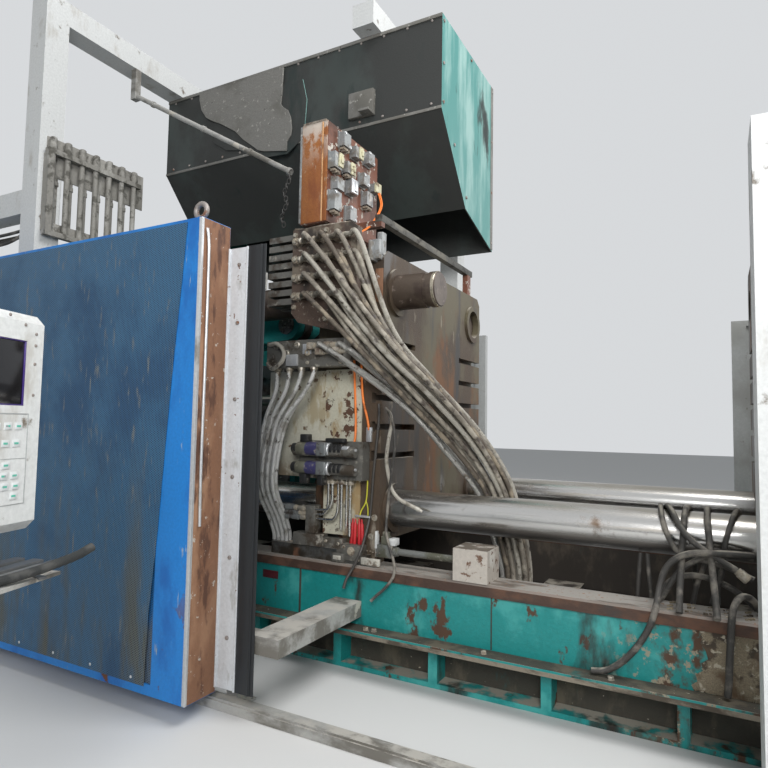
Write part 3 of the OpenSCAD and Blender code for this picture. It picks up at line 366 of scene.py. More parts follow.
# Guide rails: planed steel on the girders, bright only where the shoes run,
# and brown with rust and old grease along their sides.
rail_steel = worn("rail_steel", (0.07, 0.041, 0.03), 0.6, 0.3, (
    ((0.115, 0.058, 0.036), 6, 0.48, 0.62, 0.85, 0.0, (0.6, 1, 1)),
    ((0.035, 0.028, 0.024), 5, 0.54, 0.66, 0.5, 0.0, (0.5, 1, 1)),
    ((0.36, 0.335, 0.3), 3, 0.2, 0.34, 0.55, 0.35, (0.3, 3, 1), "top"),
    ((0.13, 0.105, 0.085), 4, 0.53, 0.64, 0.6, 0.2, (0.5, 2, 1), "top"),
    ((0.3, 0.17, 0.1), 40, 0.6, 0.66, 0.9, 0.0, even, "top")), bump=0.25)
dressed(rail_steel, "guide_rails")

# Platens: heavy steel castings, brown from heat, rust and baked release spray,
# with paler runs down the sides and the olive film of the die face.
platen_steel = worn("platen_casting", (0.066, 0.044, 0.027), 0.66, 0.0, (
    ((0.15, 0.07, 0.03), 2.4, 0.5, 0.62, 0.7, 0.0, (1, 1, 0.5)),
    ((0.105, 0.088, 0.052), 1.6, 0.48, 0.6, 0.6, 0.1, (1, 1, 0.6)),
    ((0.024, 0.018, 0.013), 3.6, 0.5, 0.64, 0.4, 0.1, (1.4, 1.4, 0.25)),
    ((0.27, 0.235, 0.185), 9, 0.62, 0.71, 0.9, 0.0, (1, 1, 0.3)),
    (dust, 5, 0.3, 0.5, 0.9, 0.0, even, "top")), bump=0.3)
dressed(platen_steel, "fixed_platen", "moving_platen")
manifold_grime = worn("manifold_grime", (0.085, 0.055, 0.04), 0.55, 0.1, (
    ((0.2, 0.17, 0.13), 7, 0.44, 0.6, 0.85, 0.0, even, (2.45, 2.8)),
    ((0.035, 0.026, 0.02), 5, 0.5, 0.62, 0.5, 0.0, (1, 1, 0.5)),
    ((0.38, 0.34, 0.28), 24, 0.6, 0.66, 0.9)), grain=(110, 0.3), bump=0.5)
dressed(manifold_grime, "hose_manifold")

# Lower tie bars: chromed and polished, with fine scratches around and along them, a dull oil
# film on top, painted shade underneath and an oily brown haze that thickens towards the ends.
bar_chrome = worn("bar_chrome", (0.62, 0.61, 0.59), 0.2, 1.0, (
    ((0.4, 0.37, 0.33), 26, 0.52, 0.7, 0.38, 1.0, (0.05, 1, 1)),
    ((0.16, 0.11, 0.075), 3.2, 0.58, 0.72, 0.42, 0.6, (1, 1, 1)),
    # Darker steel below the bar's axis: painted shade underneath.
    ((0.13, 0.125, 0.12), 7, 0.24, 0.46, 0.3, 0.8, (0.3, 1, 1), (1.035, 0.965)),
    ((0.36, 0.335, 0.29), 5, 0.28, 0.5, 0.3, 0.9, (0.2, 1, 1), (1.105, 1.15))),
    grain=(160, 0.06), bump=0.04)
dressed(bar_chrome, "lower_tie_bars", "crosshead_guide_rods", "injection_rods", "plunger_rod")

# Upper tie bars: drawn back through the platen for the die change, their noses covered
# with a brown heat film, and one bright band near the nose that is a painted highlight.
bar_brown = worn("drawn_bar_film", (0.088, 0.066, 0.05), 0.45, 0.3, (
    ((0.055, 0.038, 0.03), 6, 0.48, 0.62, 0.45, 0.3),
    ((0.25, 0.2, 0.17), 14, 0.58, 0.7, 0.4, 0.4, (1, 1, 1)),
    # The bright band round the bar near its nose is a painted highlight.
    ((0.48, 0.43, 0.34), 9, 0.3, 0.42, 0.25, 0.8, even, ("X", -1.94, -1.935, -1.915, -1.92))),
    bump=0.1)
dressed(bar_brown, "upper_tie_bar_front", "upper_tie_bar_rear")

# Nuts, links, pins and crosshead: machined steel under black grease.
greased_steel = worn("greased_steel", (0.2, 0.2, 0.19), 0.38, 0.9, (
    ((0.035, 0.028, 0.02), 4, 0.46, 0.62, 0.3, 0.2),
    ((0.12, 0.055, 0.03), 7, 0.58, 0.68, 0.8, 0.1),
    (dust, 9, 0.45, 0.62, 0.9, 0.0, even, "top")), bump=0.15)
dressed(greased_steel, "front_nuts", "adjusting_nuts", "platen_shoes", "shot_sleeve",
    "rear_link_upper", "rear_link_lower", "front_link_upper", "front_link_lower", "crosshead",
    "drive_link_upper", "drive_link_lower", "ejector", "door_rollers")

# Cylinders, motors and gas bottles in dull grey-green paint.
cylinder_paint = worn("cylinder_paint", (0.1, 0.155, 0.15), 0.45, 0.0, (
    (oil, 3, 0.52, 0.66, 0.35, 0.0, (0.5, 1, 1)),
    ((0.2, 0.1, 0.06), 9, 0.62, 0.68, 0.8),
    (dust, 6, 0.42, 0.6, 0.9, 0.0, even, "top")), bump=0.15)
dressed(cylinder_paint, "closing_cylinder", "shot_cylinder", "pump_motors", "accumulators")

# Track, beams, posts and the guard at the back: square tube in pale grey paint,
# scraped and dusty.
grey_beam = worn("grey_beam_paint", (0.36, 0.355, 0.335), 0.5, 0.0, (
    ((0.15, 0.14, 0.12), 4, 0.45, 0.62, 0.7, 0.0, (0.5, 1, 1)),
    ((0.46, 0.43, 0.37), 6, 0.58, 0.66, 0.7),
    (rust, 10, 0.7, 0.74, 0.85),
    ((0.42, 0.4, 0.36), 6, 0.4, 0.56, 0.8, 0.0, even, "top")), bump=0.2)
dressed(grey_beam, "door_track", "track_beams", "guard_posts", "pipe_rack", "control_stand",
    "hose_arm")
guard_grey = worn("guard_panel_grey", (0.4, 0.41, 0.405), 0.5, 0.0, (
    ((0.3, 0.3, 0.285), 2.2, 0.46, 0.66, 0.6, 0.0, (0.6, 1, 0.5)),
    ((0.17, 0.15, 0.12), 9, 0.64, 0.72, 0.8),
    ((0.2, 0.18, 0.15), 3, 0.4, 0.62, 0.8, 0.0, (1, 1, 0.5), (0.45, 0.05))), bump=0.1)
dressed(guard_grey, "rear_guard")

# White powder coat of the fixed guard, the hood's columns and the operator's panel.
white_coat = worn("white_powder_coat", (0.61, 0.62, 0.61), 0.42, 0.0, (
    ((0.42, 0.4, 0.36), 5, 0.55, 0.72, 0.65, 0.0, (1, 1, 0.4)),
    ((0.16, 0.13, 0.1), 9, 0.62, 0.72, 0.7),
    (dust, 6, 0.5, 0.66, 0.9, 0.0, even, "top")), bump=0.08)
dressed(white_coat, "fixed_guard_front", "hood_columns", "hood_beams", "control_panel")
sensor_cream = worn("sensor_cream_paint", (0.46, 0.42, 0.37), 0.5, 0.0, (
    ((0.6, 0.58, 0.53), 5, 0.5, 0.6, 0.6),
    ((0.15, 0.085, 0.055), 14, 0.56, 0.62, 0.8),
    ((0.11, 0.09, 0.07), 6, 0.38, 0.52, 0.9, 0.0, even, "top")), bump=0.15)
dressed(sensor_cream, "sensor_box")

# Fume hood: teal sheet, black with soot and oil smoke on its long sides and inside. Only the
# end wall over the die has kept its colour.
hood_sheet = worn("sooty_hood_sheet", (0.03, 0.032, 0.03), 0.7, 0.0, (
    ((0.04, 0.05, 0.046), 1.4, 0.5, 0.66, 0.6, 0.0, (1, 1, 0.6)),
    ((0.055, 0.235, 0.215), 1.2, 0.2, 0.3, 0.5, 0.0, even, "end"),
    ((0.26, 0.43, 0.4), 3.0, 0.47, 0.62, 0.6, 0.0, (1, 1, 0.18), "end"),
    ((0.02, 0.03, 0.028), 2.4, 0.6, 0.7, 0.8, 0.0, (1, 1, 0.35))), bump=0.15)
dressed(hood_sheet, "fume_hood")

# Sliding door: blue powder coat with scratches, rust at the bottom and dust.
door_blue = worn("door_blue_coat", (0.008, 0.19, 0.56), 0.38, 0.0, (
    ((0.004, 0.12, 0.42), 3, 0.5, 0.66, 0.45, 0.0, (1, 1, 0.5)),
    ((0.3, 0.36, 0.42), 18, 0.66, 0.72, 0.6, 0.0, (3, 1, 0.4)),
    (rust, 6, 0.6, 0.64, 0.85, 0.0, even, (1.0, 0.2))), bump=0.08)
dressed(door_blue, "door_frame")

# Door seal: the white metal strip that carries the black rubber edge.
seal_strip = worn("door_seal_strip", (0.028, 0.032, 0.036), 0.55, 0.0, (
    ((0.3, 0.3, 0.29), 8, 0.62, 0.74, 0.7, 0.0, (1, 1, 0.5)),), bump=0.1)
dressed(seal_strip, "door_seal")

# Connector box: red-brown paint that flakes off the sheet in pale spots.
box_brown = worn("flaking_brown_paint", (0.17, 0.062, 0.035), 0.5, 0.0, (
    ((0.08, 0.035, 0.022), 3, 0.48, 0.62, 0.6),
    ((0.5, 0.46, 0.4), 16, 0.585, 0.61, 0.8),
    (dust, 6, 0.4, 0.55, 0.9, 0.0, even, "top")), bump=0.3)
dressed(box_brown, "connector_box")

# Valves and manifold blocks: bare and grey-painted castings under brown grime.
valve_grey = worn("grimy_valve_casting", (0.14, 0.135, 0.12), 0.5, 0.3, (
    ((0.055, 0.042, 0.03), 8, 0.46, 0.6, 0.6, 0.1),
    ((0.3, 0.28, 0.24), 14, 0.56, 0.68, 0.7, 0.1)), bump=0.25)
dressed(valve_grey, "slat_block", "lower_manifold", "valve_block", "hose_couplings",
    "hose_bundle", "return_hoses", "draped_hoses")

# Shapes: blocks, turned parts and plates, their copies, and the way a piece gets its name,
# finish and body.
near, forward, backward = (0, -1, 0), (1, 0, 0), (-1, 0, 0)

def edited(*jobs):
    """Runs mesh operators with their options, each on the whole of the active object."""
    bpy.ops.object.mode_set(mode="EDIT")
    for job, options in jobs:
        bpy.ops.mesh.select_all(action="SELECT")
        job(**options)
    bpy.ops.object.mode_set(mode="OBJECT")

def made(name, corners, edges, faces):
    """A mesh from its corners, left as the active object."""
    bpy.ops.object.select_all(action="DESELECT")
    mesh = bpy.data.meshes.new(name)
    mesh.from_pydata(corners, edges, faces)
    part = bpy.data.objects.new(name, mesh)
    bpy.context.scene.collection.objects.link(part)
    part.select_set(True)
    bpy.context.view_layer.objects.active = part
    return part

def block(low, high, edge=0.003, segments=2):
    """A block cut to size with broken edges, left as the active object."""
    bpy.ops.object.select_all(action="DESELECT")
    bpy.ops.mesh.primitive_cube_add(size=1, location=[(a + b) / 2 for a, b in zip(low, high)])
    part = bpy.context.object
    part.scale = [b - a for a, b in zip(low, high)]
    bpy.ops.object.transform_apply(location=False, rotation=False, scale=True)
    edited((bpy.ops.mesh.bevel, {"offset": edge, "segments": segments, "affect": "EDGES"}))
    return part

def turned(profile, steps=20):
    """A part turned about its own Z axis from a profile of (radius, height)."""
    part = made("turned", [(r, 0, z) for r, z in profile],
        [(i, i + 1) for i in range(len(profile) - 1)], [])
    edited((bpy.ops.mesh.spin, {"steps": steps, "angle": 2 * math.pi, "center": (0, 0, 0),
        "axis": (0, 0, 1)}), (bpy.ops.mesh.remove_doubles, {"threshold": 0.00002}),
        (bpy.ops.mesh.normals_make_consistent, {"inside": False}))
    return part

def cut_plate(outline, y0, y1, edge=0.002):
    """A plate cut to an outline of (x, z) and given its thickness along Y."""
    plate = made("plate", [(x, y0, z) for x, z in outline], [], [list(range(len(outline)))])
    edited((bpy.ops.mesh.extrude_region_move,
        {"TRANSFORM_OT_translate": {"value": (0, y1 - y0, 0)}}),
        (bpy.ops.mesh.normals_make_consistent, {"inside": False}))
    if edge:
        edited((bpy.ops.mesh.bevel, {"offset": edge, "segments": 1, "affect": "EDGES"}))
    return plate

def roughened(part, fractal, seed):
    """Breaks a part's faces up into an uneven crust."""
    bpy.context.view_layer.objects.active = part
    edited((bpy.ops.mesh.subdivide, {"number_cuts": 5, "fractal": fractal, "seed": seed}))
    return part

def joined(parts):
    bpy.ops.object.select_all(action="DESELECT")
    for part in parts:
        part.select_set(True)
    bpy.context.view_layer.objects.active = parts[0]
    if len(parts) > 1:
        bpy.ops.object.join()
    return bpy.context.view_layer.objects.active

def blocks(*cuts):
    """Several blocks, each from its corners and edge, as one part."""
    return joined([block(*cut) for cut in cuts])

def placed(part, places, facing=(0, 0, 1)):
    """Copies a part to each place, turned so that its Z axis faces the given way."""
    turn = Vector(facing).to_track_quat("Z", "Y").to_matrix().to_4x4()
    copies = []
    for i, place in enumerate(places):
        copy = part if i == len(places) - 1 else part.copy()
        if copy is not part:
            copy.data = part.data.copy()
            bpy.context.scene.collection.objects.link(copy)
        copies.append(copy)
    for copy, place in zip(copies, places):
        copy.matrix_world = Matrix.Translation(place) @ turn
    return joined(copies)

def fitted(piece, name, material, body="moving_platen"):
    """Puts a piece's place into its mesh, gives it its finish and hangs it on its body."""
    bpy.ops.object.select_all(action="DESELECT")
    piece.select_set(True)
    bpy.context.view_layer.objects.active = piece
    bpy.ops.object.transform_apply(location=True, rotation=True, scale=True)
    bpy.ops.object.shade_smooth_by_angle(angle=0.6)
    piece.name = name
    piece.data.materials.clear()
    piece.data.materials.append(material)
    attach(piece, body)
    return piece

def hex_head(across, high):
    r = across * 0.577
    return turned([(0, 0), (r * 1.15, 0), (r * 1.15, high * 0.12), (r, high * 0.13),
        (r, high * 0.9), (r * 0.86, high), (0, high)], steps=6)

def bolt_heads(across, high, places, facing=(0, 0, 1)):
    return placed(hex_head(across, high), places, facing)

# Sliding door: blue perforated sheet on a welded frame. Its leading post is a rusty channel,
# and the sealing strips behind it are screwed on through long holes.
door_end, door_face, seal_face = -2.735, -2.2, -1.975
post_rust = worn("rusty_end_post", (0.2, 0.095, 0.05), 0.72, 0.0, (
    ((0.3, 0.165, 0.095), 3.5, 0.47, 0.62, 0.8, 0.0, (1, 1, 0.4)),
    ((0.085, 0.036, 0.02), 9, 0.54, 0.64, 0.7, 0.0, (1, 1, 0.3)),
    ((0.42, 0.38, 0.33), 24, 0.64, 0.68, 0.8)), bump=0.3)
post = block((door_end - 0.004, door_face + 0.012, 0.113),
    (door_end + 0.003, seal_face - 0.003, 2.757), 0.0015)
fitted(post, "door_end_channel", post_rust, "guard_door")

alloy = worn("weathered_alloy", (0.6, 0.61, 0.62), 0.35, 0.6, (
    ((0.26, 0.25, 0.23), 7, 0.56, 0.68, 0.6, 0.2, (1, 1, 0.4)),), bump=0.08)
trim = block((door_end - 0.02, door_face - 0.003, 0.112),
    (door_end + 0.004, door_face + 0.014, 2.758), 0.002)
fitted(trim, "door_corner_trim", alloy, "guard_door")
laid_hose("door_conduit", [(door_end + 0.012, door_face + 0.03, 2.7),
    (door_end + 0.013, door_face + 0.045, 2.55), (door_end + 0.013, door_face + 0.047, 2.0),
    (door_end + 0.013, door_face + 0.044, 1.4), (door_end + 0.013, door_face + 0.05, 1.05)],
    0.016, alloy, body="guard_door", slot="white_paint")

# The sheet is screwed to the outside of the frame; its edge beside the leading stile is
# cut to a slant that widens the bare blue stile towards the floor.
def perforated_finish(name, colour, hole, pitch):
    """Paint on perforated sheet: dark holes in a triangular pattern on the sheet's plane."""
    material = worn(name, colour, 0.42, 0.0, (
        ((0.018, 0.075, 0.165), 1.3, 0.46, 0.66, 0.6, 0.0, (1, 1, 0.7)),
        ((0.12, 0.125, 0.105), 3.0, 0.42, 0.66, 0.85, 0.0, (2.2, 1, 0.35), (1.7, 0.3)),
        ((0.17, 0.19, 0.2), 11, 0.58, 0.7, 0.55, 0.0, (3, 1, 0.5))), bump=0.05)
    tree = material.node_tree
    shader = tree.nodes["Principled BSDF"]
    where = tree.nodes.new("ShaderNodeTexCoord").outputs["Object"]
    split = tree.nodes.new("ShaderNodeSeparateXYZ")
    tree.links.new(where, split.inputs[0])

    def sums(kind, a, b):
        node = tree.nodes.new("ShaderNodeMath")
        node.operation = kind
        for socket, value in zip(node.inputs, (a, b)):
            if hasattr(value, "links"):
                tree.links.new(value, socket)
            elif value is not None:
                socket.default_value = value
        return node.outputs[0]

    waves = []
    for k in range(3):
        angle = k * math.pi / 3
        along = sums("ADD", sums("MULTIPLY", split.outputs["X"], math.cos(angle)),
            sums("MULTIPLY", split.outputs["Z"], math.sin(angle)))
        waves.append(sums("COSINE", sums("MULTIPLY", along, 4 * math.pi / (pitch * 1.732)), None))
    dots = sums("ADD", sums("ADD", waves[0], waves[1]), waves[2])
    open_hole = sums("GREATER_THAN", dots, hole)
    old = shader.inputs["Base Color"].links[0].from_socket
    mix = tree.nodes.new("ShaderNodeMix")
    mix.data_type = "RGBA"
    tree.links.new(open_hole, mix.inputs[0])
    tree.links.new(old, mix.inputs[6])
    mix.inputs[7].default_value = (0.01, 0.014, 0.02, 1)
    tree.links.new(mix.outputs[2], shader.inputs["Base Color"])
    return material

sheet_blue = perforated_finish("perforated_blue_sheet", (0.034, 0.128, 0.245), 0.6, 0.013)
left, bottom, top = -5.66, 0.155, 2.742
slant = [(-2.845, top), (-2.872, 2.4), (-2.915, 1.95), (-2.95, 1.5), (-2.985, 1.0),
    (-3.03, 0.55), (-3.045, bottom)]
sheet = cut_plate([(left, top)] + slant + [(left, bottom)], door_face - 0.001,
    door_face - 0.0035, 0)
fitted(sheet, "door_perforated_sheet", sheet_blue, "guard_door")
rivets = placed(turned([(0, 0.003), (0.005, 0.0025), (0.008, 0.001), (0.009, 0)], 10),
    [(left + 0.06 + 0.35 * i, door_face - 0.0035, 0.185) for i in range(8)]
    + [(left + 0.03, door_face - 0.0035, 0.45 + 0.45 * i) for i in range(5)], near)
fitted(rivets, "door_sheet_rivets", alloy, "guard_door")
dressed(perforated_finish("perforated_sheet_back", (0.01, 0.13, 0.36), 0.6, 0.013), "door_sheet")

# Lifting eye on top of the post
eye_steel = worn("rusted_lifting_eye", (0.3, 0.27, 0.25), 0.5, 0.5, (
    ((0.2, 0.09, 0.05), 12, 0.54, 0.64, 0.75, 0.1),), bump=0.2)
bpy.ops.object.select_all(action="DESELECT")
bpy.ops.mesh.primitive_torus_add(major_radius=0.0405, minor_radius=0.0155,
    major_segments=32, minor_segments=12, location=(-2.805, -2.14, 2.82),
    rotation=(math.pi / 2, 0, 0))
ring = bpy.context.object
shank = turned([(0, 0), (0.028, 0), (0.028, 0.004), (0.021, 0.006), (0.018, 0.02), (0.013, 0.03),
    (0, 0.03)])
shank.location = (-2.805, -2.14, 2.758)
fitted(joined([ring, shank]), "door_lifting_eye", eye_steel, "guard_door")

# Sealing strips: a folded white metal strip, long-holed and screwed, and a black rubber
# profile in it that meets the fixed guard.
strip_white = worn("white_strip", (0.58, 0.6, 0.62), 0.38, 0.1, (
    ((0.3, 0.29, 0.27), 6, 0.54, 0.68, 0.6, 0.0, (1, 1, 0.4)),
    (rust, 20, 0.66, 0.69, 0.8)), bump=0.06)
parts = [block((-2.797, -1.977, 0.141), (-2.592, -1.9685, 2.631), 0.0015),
    block((-2.598, -1.988, 0.141), (-2.586, -1.966, 2.631), 0.002),
    block((-2.733, -1.9885, 0.141), (-2.724, -1.972, 2.631), 0.0015)]
strip = joined(parts)
fitted(strip, "door_white_strip", strip_white, "guard_door")
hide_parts("door_seal")
screws = bolt_heads(0.019, 0.009, [(-2.655, -1.977, z) for z in
    (2.53, 2.19, 1.75, 1.31, 0.86, 0.42)], near)
fitted(screws, "door_strip_screws", eye_steel, "guard_door")
rubber = worn("black_seal_rubber", (0.012, 0.014, 0.016), 0.5, 0.0, (
    ((0.1, 0.1, 0.1), 5, 0.6, 0.78, 0.75, 0.0, (1, 1, 0.3)),), bump=0.05)
edge_strip = blocks(((-2.59, -1.9815, 0.139), (-2.484, -1.9685, 2.633), 0.003),
    ((-2.486, -1.978, 0.139), (-2.4615, -1.972, 2.633), 0.0025),
    ((-2.5, -1.9835, 0.139), (-2.492, -1.967, 2.633), 0.002))
fitted(edge_strip, "door_rubber_edge", rubber, "guard_door")
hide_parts("door_seal")

# Upper manifold: a flame-cut plate on brackets, with a banjo fitting for each hose. The hoses
# swing outwards at once, so that they pass over the fittings of the next columns.
zinc = worn("plated_fitting", (0.42, 0.39, 0.33), 0.42, 0.75, (
    ((0.3, 0.26, 0.2), 18, 0.44, 0.58, 0.85),
    ((0.1, 0.07, 0.05), 11, 0.54, 0.64, 0.7, 0.2)), bump=0.25)
caked = worn("caked_casting_dust", (0.26, 0.215, 0.165), 0.9, 0.0, (
    ((0.42, 0.38, 0.32), 14, 0.48, 0.6, 0.95),
    ((0.11, 0.075, 0.055), 7, 0.52, 0.64, 0.8)), grain=(140, 0.3), bump=0.9)
bodies, nuts = [], []
for row, column, outlet in outlets:
    x, y, z = outlet
    if row < 4:
        bodies.append(placed(turned([(0, 0), (0.036, 0), (0.036, 0.006), (0.024, 0.009),
            (0.024, 0.012), (0.03, 0.014), (0.03, 0.044), (0.026, 0.05), (0, 0.05)], 14),
            [(x - 0.035, -1.1695, z)], near))
        nuts.append(bolt_heads(0.034, 0.014, [(x - 0.035, -1.218, z)], near))
        nuts.append(placed(turned([(0, 0), (0.019, 0), (0.019, 0.006), (0.026, 0.008),
            (0.026, 0.026), (0.0205, 0.03), (0.0205, 0.07), (0.0175, 0.076), (0, 0.076)], 14),
            [(x - 0.016, y, z)], (1, -0.16, 0)))
    else:
        nuts.append(placed(turned([(0, 0), (0.026, 0), (0.026, 0.02), (0.0205, 0.024),
            (0.0205, 0.055), (0.0175, 0.062), (0, 0.062)], 14), [(x - 0.035, y, z)], forward))
        bodies.append(block((x - 0.075, y - 0.024, z - 0.024),
            (x - 0.028, -1.188, z + 0.024), 0.006))
fitted(joined(bodies), "manifold_banjo_bodies", caked)
fitted(joined(nuts), "manifold_hose_nuts", zinc)
bolts = bolt_heads(0.03, 0.016, [(-2.865, -1.17, 2.96), (-2.865, -1.17, 2.44),
    (-2.385, -1.17, 2.93), (-2.44, -1.17, 2.34), (-2.6, -1.17, 2.34), (-2.6, -1.17, 2.965)],
    near)
fitted(bolts, "manifold_bolts", zinc)
heap = block((-2.885, -1.165, 2.985), (-2.45, -1.115, 3.012), 0.006, 1)
fitted(roughened(heap, 0.35, 3), "manifold_dust_heap", caked)

# Lower manifold: a drilled steel block with blanking plugs, plates and hose tails below.
tails = placed(turned([(0, 0), (0.026, 0), (0.026, 0.02), (0.019, 0.024), (0.019, 0.04),
    (0.0165, 0.06), (0, 0.06)], 12), [(-3.03 + 0.105 * (i // 2) + 0.03 * (i % 2),
    -1.12 - 0.045 * (i % 2), 2.012) for i in range(8)], (0, 0, -1))
fitted(tails, "return_hose_tails", zinc)
plug_places = [(-2.99 + 0.09 * i, -1.19, 2.165 - 0.055 * (i % 2)) for i in range(4)]
plugs = joined([placed(turned([(0, 0), (0.024, 0), (0.024, 0.01), (0.018, 0.014),
    (0.01, 0.014), (0.01, 0.004), (0, 0.004)], 12), plug_places, near),
    bolt_heads(0.022, 0.012, [(-3.06, -1.19, 2.18), (-3.06, -1.19, 2.03),
    (-2.72, -1.19, 2.04), (-2.45, -1.19, 2.035)], near)])
fitted(plugs, "lower_manifold_plugs", zinc)
plates = blocks(((-2.9, -1.205, 2.02), (-2.8, -1.189, 2.1), 0.004),
    ((-2.76, -1.2, 2.1), (-2.69, -1.189, 2.17), 0.003))
fitted(plates, "lower_manifold_plates", alloy)
loop_points = [(-3.045, -1.198, 2.175)] + [(-3.02 + 0.13 * math.sin(a), -1.222 - 0.01 * a,
    2.09 + 0.095 * math.cos(a)) for a in [0.35 + 0.42 * k for k in range(6)]]
loop_points += [(-2.99, -1.235, 2.0), (-3.04, -1.212, 2.022), (-3.065, -1.197, 2.045)]
laid_hose("manifold_loop_hose", loop_points, 0.03, hose_pale, "moving_platen", "hose_beige",
    **connected)

# Valve pair on the cream plate: two hydraulic valves on top of each other, each with its coil,
# body, ring and knurled setting head, and plugs for their cables.
coil_olive = worn("valve_coil_olive", (0.115, 0.115, 0.085), 0.5, 0.1, (
    ((0.25, 0.23, 0.18), 16, 0.54, 0.66, 0.8),), bump=0.15)
valve_body = worn("valve_body_grey", (0.17, 0.18, 0.18), 0.42, 0.2, (
    ((0.06, 0.05, 0.045), 14, 0.52, 0.64, 0.5, 0.1),), bump=0.15)
plug_black = worn("cable_plug_black", (0.018, 0.018, 0.018), 0.45, 0.0, (
    ((0.16, 0.15, 0.13), 16, 0.56, 0.7, 0.85),), bump=0.1)
label_blue = worn("valve_band_violet", (0.045, 0.042, 0.11), 0.4, 0.0, (
    ((0.22, 0.2, 0.18), 20, 0.56, 0.66, 0.8),), bump=0.05)
coils, housings, rings, heads, bands = [], [], [], [], []
for z in (1.315, 1.445):
    y = -1.125
    heads.append(placed(turned([(0, 0), (0.022, 0), (0.036, 0.012), (0.038, 0.05),
        (0.03, 0.056), (0, 0.056)], 18), [(-2.88, y, z)], forward))
    coils.append(placed(turned([(0, 0), (0.044, 0), (0.046, 0.004), (0.046, 0.076),
        (0.044, 0.08), (0, 0.08)], 20), [(-2.826, y, z)], forward))
    bands.append(placed(turned([(0, 0), (0.047, 0), (0.0475, 0.004), (0.0475, 0.092),
        (0.047, 0.096), (0, 0.096)], 20), [(-2.746, y, z)], forward))
    housings.append(block((-2.652, y - 0.044, z - 0.046), (-2.575, -1.078, z + 0.046),
        0.008, 3))
    rings.append(placed(turned([(0, 0), (0.043, 0), (0.046, 0.004), (0.046, 0.014),
        (0.043, 0.018), (0, 0.018)], 20), [(-2.575, y, z)], forward))
    for i in range(3):
        heads.append(placed(turned([(0, 0), (0.03, 0), (0.038, 0.006), (0.038, 0.026),
            (0.03, 0.032), (0, 0.032)], 10), [(-2.557 + 0.034 * i, y, z)], forward))
    rings.append(placed(turned([(0, 0), (0.026, 0), (0.028, 0.006), (0.028, 0.045),
        (0.022, 0.05), (0.012, 0.07), (0.01, 0.105), (0, 0.105)], 16),
        [(-2.456, y, z)], forward))
fitted(joined(coils), "valve_coils", coil_olive)
fitted(joined(bands), "valve_bands", label_blue)
fitted(joined(housings), "valve_housings", valve_body)
fitted(joined(rings), "valve_rings", alloy)
plugs = [block((-2.8, -1.15, 1.49), (-2.735, -1.09, 1.545), 0.007),
    block((-2.79, -1.16, 1.205), (-2.735, -1.1, 1.272), 0.007),
    block((-2.645, -1.155, 1.2), (-2.6, -1.095, 1.268), 0.006),
    block((-2.6, -1.135, 1.492), (-2.44, -1.095, 1.522), 0.01)]
fitted(joined(heads + plugs), "valve_heads_and_plugs", plug_black)

# Cream plate behind the valves, its paint broken away along the edges, and the bright hard
# tubes that run down from the valves to banjo fittings beside the shoe.
cream = worn("chipped_cream_plate", (0.52, 0.5, 0.4), 0.5, 0.0, (
    ((0.34, 0.24, 0.12), 4.5, 0.52, 0.62, 0.6, 0.0, (1, 1, 0.5)),
    ((0.1, 0.05, 0.03), 11, 0.56, 0.59, 0.8),
    ((0.16, 0.14, 0.11), 20, 0.62, 0.68, 0.8)), bump=0.25)
dressed(cream, "valve_plate")
bright_tube = worn("bright_hard_tube", (0.62, 0.61, 0.58), 0.25, 0.95, (
    ((0.2, 0.15, 0.1), 9, 0.55, 0.66, 0.6, 0.3),), bump=0.05)
tube_x = (-2.625, -2.585, -2.545, -2.51, -2.475, -2.44)
for i, x in enumerate(tube_x):
    y = -1.035 - 0.012 * (i % 2)
    low = (0.985, 1.02, 0.955, 0.9, 0.87, 0.86)[i]
    if i < 3:
        points = [(x, y, 1.255), (x, y, 1.2), (x, y, low + 0.1), (x - 0.008, y, low + 0.045),
            (x - 0.035, y, low + 0.008), (x - 0.08, y, low), (x - 0.16 - 0.03 * i, y, low)]
    else:
        points = [(x, y, 1.255), (x, y, 1.2), (x, y, 1.08), (x, y, 0.97), (x, y, low)]
    laid_hose(f"valve_tube_{i}", points, 0.019, bright_tube, "moving_platen", "chrome_bar", 5, 3)
union = turned([(0, 0), (0.014, 0), (0.014, 0.012), (0.022, 0.014), (0.022, 0.034), (0.016, 0.038),
    (0.016, 0.075), (0.02, 0.077), (0.02, 0.1), (0.012, 0.104), (0, 0.104)], 12)
union_places = [(-2.765, -1.035, 0.985), (-2.8, -1.047, 1.02), (-2.75, -1.035, 0.955)]
unions = placed(union, union_places, backward)
ferrules = placed(turned([(0, 0.1), (0.017, 0.1), (0.017, 0.12), (0.023, 0.122),
    (0.023, 0.175), (0.018, 0.18), (0.018, 0.2), (0.021, 0.202), (0.021, 0.235), (0, 0.24)],
    12), union_places, backward)
fitted(ferrules, "valve_tube_ferrules", valve_body)
stubs = placed(turned([(0, 0), (0.024, 0), (0.024, 0.022), (0.017, 0.026), (0.017, 0.05),
    (0, 0.05)], 12), [(x, -1.035 - 0.012 * (i % 2), 1.205) for i, x in enumerate(tube_x)],
    (0, 0, 1))
fitted(joined([unions, stubs]), "valve_tube_unions", zinc)
holder = blocks(((-2.9, -1.07, 0.766), (-2.66, -0.975, 0.85), 0.006),
    ((-2.8, -1.062, 0.85), (-2.72, -0.976, 1.045), 0.008))
fitted(holder, "tube_holder", valve_grey)

# Cables on the platen's side: orange sheathed lines, an earth wire and red cable ends.
def cable_finish(name, colour):
    return worn(name, colour, 0.45, 0.0, ((tuple(c * 0.45 for c in colour), 9, 0.54,
        0.68, 0.7),), grain=(200, 0.1), bump=0.05)

